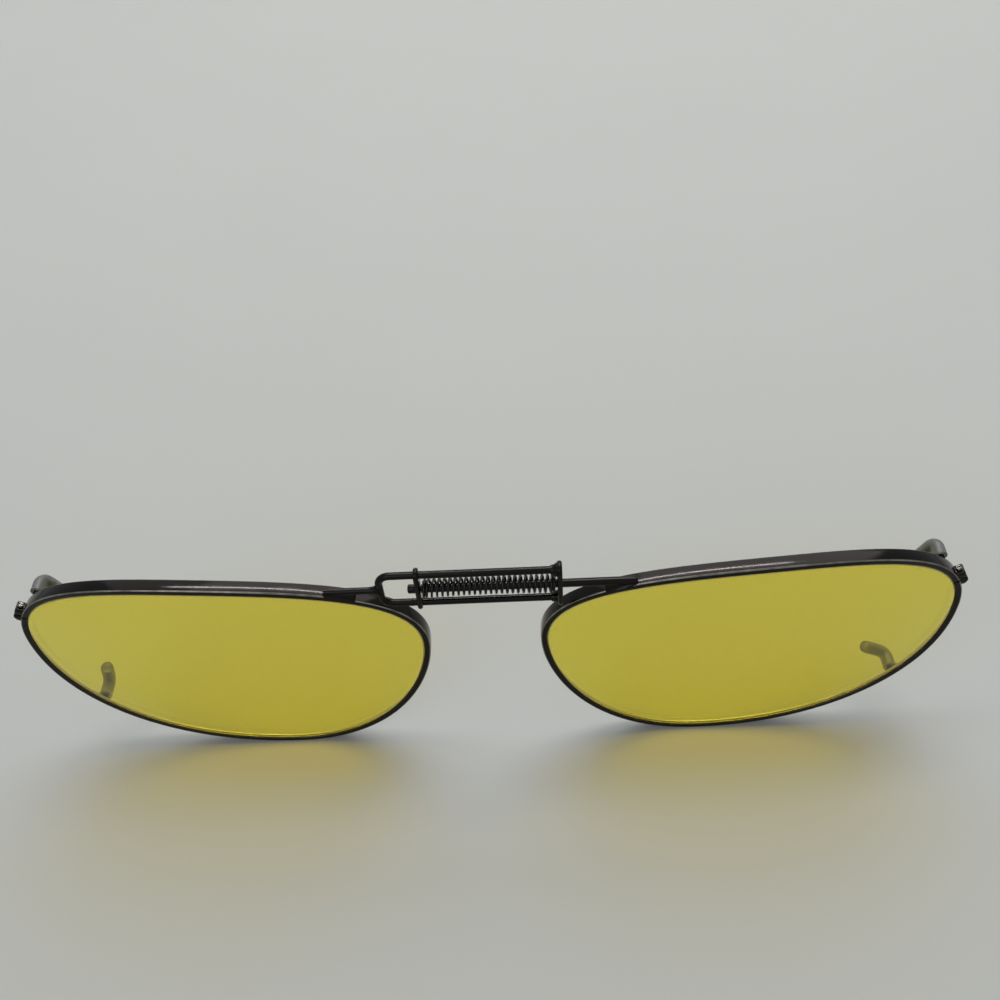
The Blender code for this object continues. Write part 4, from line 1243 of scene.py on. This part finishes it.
def spring_material():
    """Drawn spring steel, oiled dark: satin, uneven over 0.8 mm."""
    steel = settings("clip_bridge").spring_steel
    material, tree, shader = start_material("drawn_spring_steel_dark", {"Metallic": 1.0})
    mottle(tree, shader, grain=0.0008, detail=3.0, tones=(rgba(steel, 0.75), rgba(steel, 1.25)),
           roughness=(0.22, 0.42))
    return material


def nickel_material():
    """Turned screw in dulled nickel: dark warm metal that glints, duller in patches of 0.2 mm."""
    material, tree, shader = start_material("dulled_nickel_turned", {
        "Metallic": 1.0, "Base Color": rgba(settings("clip_rim").screw_metal)})
    mottle(tree, shader, grain=0.0002, detail=2.0, roughness=(0.18, 0.36))
    return material


def lens_material():
    """Dyed lens plastic, polished: clear yellow, with faint smears and dust specks towards the rim."""
    tint = settings("clip_lens").tint
    material, tree, shader = start_material("dyed_lens_plastic_polished", {
        "Base Color": rgba(tint), "Transmission Weight": 1.0, "IOR": LENS_IOR})
    near = add_node(tree, "ShaderNodeAttribute", attribute_name="edge_nearness").outputs["Fac"]
    place_of = add_node(tree, "ShaderNodeTexCoord").outputs["Object"]
    # Finger smears, about 9 mm across
    smear = add_node(tree, "ShaderNodeTexNoise", {"Vector": place_of, "Scale": 1.0 / 0.009, "Detail": 4.0})
    haze = add_node(tree, "ShaderNodeMapRange", {
        "Value": smear, "From Min": 0.45, "From Max": 0.75, "To Min": 0.0, "To Max": 0.04})
    # Dust specks, 0.25 mm across, drawn coarser than real so that they show
    grain = add_node(tree, "ShaderNodeTexNoise", {"Vector": place_of, "Scale": 1.0 / 0.00025, "Detail": 1.0})
    speck = add_node(tree, "ShaderNodeMapRange", {
        "Value": grain, "From Min": 0.66, "From Max": 0.74, "To Min": 0.0, "To Max": 0.4})
    rough = add_node(tree, "ShaderNodeMath", {0: speck, 1: near, 2: haze}, operation="MULTIPLY_ADD")
    feed(tree, shader, {"Roughness": rough})
    tinted_shadow(tree, shader, tint)
    return material


def ground_edge_material():
    """Bevelled edge of the lens as the grinder left it: frosted, pale tan, mottled by the wheel."""
    lens = settings("clip_lens")
    material, tree, shader = start_material("dyed_lens_plastic_ground_edge", {
        "Transmission Weight": 0.6, "IOR": LENS_IOR})
    # Wheel marks, 0.3 mm apart, drawn coarser than real so that they show
    mottle(tree, shader, grain=0.0003, detail=2.0, tones=(rgba(lens.ground, 0.8), rgba(lens.ground)),
           roughness=(0.4, 0.65))
    tinted_shadow(tree, shader, lens.tint)
    return material


def sleeve_material():
    """Clear soft vinyl gone cloudy: grey and translucent, with a soft sheen that varies over 1.2 mm."""
    vinyl = settings("clip_claw").vinyl
    material, tree, shader = start_material("cloudy_vinyl_extruded", {
        "Transmission Weight": 0.7, "IOR": VINYL_IOR})
    mottle(tree, shader, grain=0.0012, detail=3.0, tones=(rgba(vinyl, 0.85), rgba(vinyl)),
           roughness=(0.3, 0.5))
    tinted_shadow(tree, shader, vinyl)
    return material


def floor_material():
    """Pale laminate, nearly matt, faintly cloudy over 50 mm."""
    floor = settings("clip_stage").floor
    material, tree, shader = start_material("pale_laminate_floor", {
        "Roughness": 0.65, "Specular IOR Level": 0.15})
    mottle(tree, shader, grain=0.05, detail=3.0, tones=(rgba(floor, 0.97), rgba(floor)))
    return material


# Stage

def area_light(name, place_at, target, size, watts, tone):
    lamp = bpy.data.lights.new(name, "AREA")
    lamp.shape = "RECTANGLE"
    lamp.size = size[0]
    lamp.size_y = size[1]
    lamp.energy = watts
    lamp.color = linear(tone)
    item = link_object(name, lamp)
    item.location = place_at
    item.rotation_euler = (Vector(target) - Vector(place_at)).to_track_quat("-Z", "Y").to_euler()
    return item


def make_floor():
    shape = bmesh.new()
    bmesh.ops.create_grid(shape, x_segments=8, y_segments=8, size=FLOOR_HALF_SIZE)
    mesh = mesh_from("floor", shape)
    mesh.materials.append(floor_material())
    mesh.transform(Matrix.Translation((0.0, 0.0, CAD_BOX[0].z)))
    link_object("floor", mesh)


def make_world(stage):
    """Backdrop that is pale where it is seen, and dimmer as a light."""
    world = bpy.data.worlds.new("studio")
    world.use_nodes = True
    tree = world.node_tree
    rays = add_node(tree, "ShaderNodeLightPath").outputs
    direct = add_node(tree, "ShaderNodeMath", {0: rays["Is Camera Ray"], 1: rays["Is Transmission Ray"]},
                      operation="MAXIMUM")
    seen = add_node(tree, "ShaderNodeMath", {0: direct, 1: rays["Is Glossy Ray"]}, operation="MAXIMUM")
    strength = add_node(tree, "ShaderNodeMapRange", {
        "Value": seen, "To Min": stage.world_light, "To Max": stage.world_seen})
    feed(tree, tree.nodes["Background"], {"Color": rgba(linear(BACKDROP)), "Strength": strength})
    return world


def make_camera(stage):
    lens = bpy.data.cameras.new("camera")
    lens.lens = stage.focal
    lens.sensor_width = SENSOR_WIDTH
    lens.clip_start = NEAREST_SEEN
    camera = link_object("camera", lens)
    forward = Vector((math.sin(stage.yaw) * math.cos(stage.elevation),
                      math.cos(stage.yaw) * math.cos(stage.elevation), -math.sin(stage.elevation)))
    level = Vector((math.cos(stage.yaw), -math.sin(stage.yaw), 0.0))
    upright = level.cross(forward)
    right = level * math.cos(stage.roll) + upright * math.sin(stage.roll)
    turn = Matrix((right, right.cross(forward), -forward)).transposed().to_4x4()
    camera.matrix_world = Matrix.Translation(stage.eye_point) @ turn
    return camera


def make_stage():
    stage = settings("clip_stage")
    scene = bpy.context.scene
    scene.view_settings.view_transform = "Standard"
    make_floor()
    lamps = {name: area_light(name, *values) for name, values in LAMPS.items()}
    # Only polished surfaces reflect the strip, which draws the thin bright lines along the rim tops
    lamps["glint_strip"].visible_diffuse = False
    scene.world = make_world(stage)
    scene.camera = make_camera(stage)


# Operators

class CLIP_OT_rims(bpy.types.Operator):
    """Sweep both grooved rims round the eye shape"""
    bl_idname = "clip.rims"
    bl_label = "Rims"

    def execute(self, context):
        tree = rim_tree()
        for side in SIDES:
            make_rim(side, tree, bpy.data.materials[METAL])
        return {"FINISHED"}


class CLIP_OT_lenses(bpy.types.Operator):
    """Edge both tinted lenses to the eye shape"""
    bl_idname = "clip.lenses"
    bl_label = "Tinted lenses"

    def execute(self, context):
        material = lens_material()
        edge_material = ground_edge_material()
        for side in SIDES:
            make_lens(side, material, edge_material)
        return {"FINISHED"}


class CLIP_OT_closing_blocks(bpy.types.Operator):
    """Set the closing blocks at the slits of the rims"""
    bl_idname = "clip.closing_blocks"
    bl_label = "Closing blocks"

    def execute(self, context):
        for side in SIDES:
            for level in LEVELS:
                make_closing_block(side, level, bpy.data.materials[METAL])
        return {"FINISHED"}


class CLIP_OT_closing_screws(bpy.types.Operator):
    """Put the slotted screws through the closing blocks"""
    bl_idname = "clip.closing_screws"
    bl_label = "Closing screws"

    def execute(self, context):
        tree = slotted_screw_tree()
        material = nickel_material()
        for side in SIDES:
            make_closing_screw(side, tree, material)
        return {"FINISHED"}


class CLIP_OT_claws(bpy.types.Operator):
    """Bend the four claws and slip their clear sleeves on"""
    bl_idname = "clip.claws"
    bl_label = "Claws and sleeves"

    def execute(self, context):
        tree = wire_tree()
        vinyl = sleeve_material()
        for side in SIDES:
            for level in LEVELS:
                make_claw(side, level, tree, bpy.data.materials[METAL])
                make_sleeve(side, level, vinyl)
        return {"FINISHED"}


class CLIP_OT_bridge(bpy.types.Operator):
    """Build the guide loop, stem, plates, pull rod and rod head"""
    bl_idname = "clip.bridge"
    bl_label = "Spring bridge"

    def execute(self, context):
        metal = bpy.data.materials[METAL]
        make_guide_loop(wire_tree(), metal)
        make_guide_stem(metal)
        make_pull_rod(metal)
        make_plates(metal)
        make_rod_head(metal)
        return {"FINISHED"}


class CLIP_OT_spring(bpy.types.Operator):
    """Wind the spring round the pull rod"""
    bl_idname = "clip.spring"
    bl_label = "Spring"

    def execute(self, context):
        make_spring(spring_tree(), spring_material())
        return {"FINISHED"}


class CLIP_OT_stage(bpy.types.Operator):
    """Set the floor, light and camera"""
    bl_idname = "clip.stage"
    bl_label = "Stage"

    def execute(self, context):
        make_stage()
        return {"FINISHED"}


OPERATORS = (CLIP_OT_rims, CLIP_OT_lenses, CLIP_OT_closing_blocks, CLIP_OT_closing_screws, CLIP_OT_claws,
             CLIP_OT_bridge, CLIP_OT_spring, CLIP_OT_stage)


class CLIP_PT_panel(bpy.types.Panel):
    """Lists what the clip is made of"""
    bl_idname = "CLIP_PT_panel"
    bl_label = "Clip-on lenses"
    bl_space_type = "VIEW_3D"
    bl_region_type = "UI"
    bl_category = "Clip-on"

    def draw(self, context):
        for operator in OPERATORS:
            self.layout.operator(operator.bl_idname)
        for name in SETTINGS:
            group = getattr(context.scene, name)
            box = self.layout.box()
            for key in group.__annotations__:
                box.prop(group, key, text=key.replace("_", " ").capitalize())


# Registration

def register():
    for name, group in SETTINGS.items():
        bpy.utils.register_class(group)
        setattr(bpy.types.Scene, name, PointerProperty(type=group))
    for operator in OPERATORS:
        bpy.utils.register_class(operator)
    bpy.utils.register_class(CLIP_PT_panel)


def unregister():
    bpy.utils.unregister_class(CLIP_PT_panel)
    for operator in reversed(OPERATORS):
        bpy.utils.unregister_class(operator)
    for name, group in SETTINGS.items():
        delattr(bpy.types.Scene, name)
        bpy.utils.unregister_class(group)


def clear_scene():
    """Removes what a new file holds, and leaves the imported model."""
    loaded = set(frame["nodes"].values()) | set(frame["bodies"].values())
    for item in list(bpy.data.objects):
        if item not in loaded:
            bpy.data.objects.remove(item, do_unlink=True)


def main():
    clear_scene()
    register()
    gunmetal_material()
    for operator in OPERATORS:
        group, name = operator.bl_idname.split(".")
        getattr(getattr(bpy.ops, group), name)()


if __name__ == "__main__":
    main()
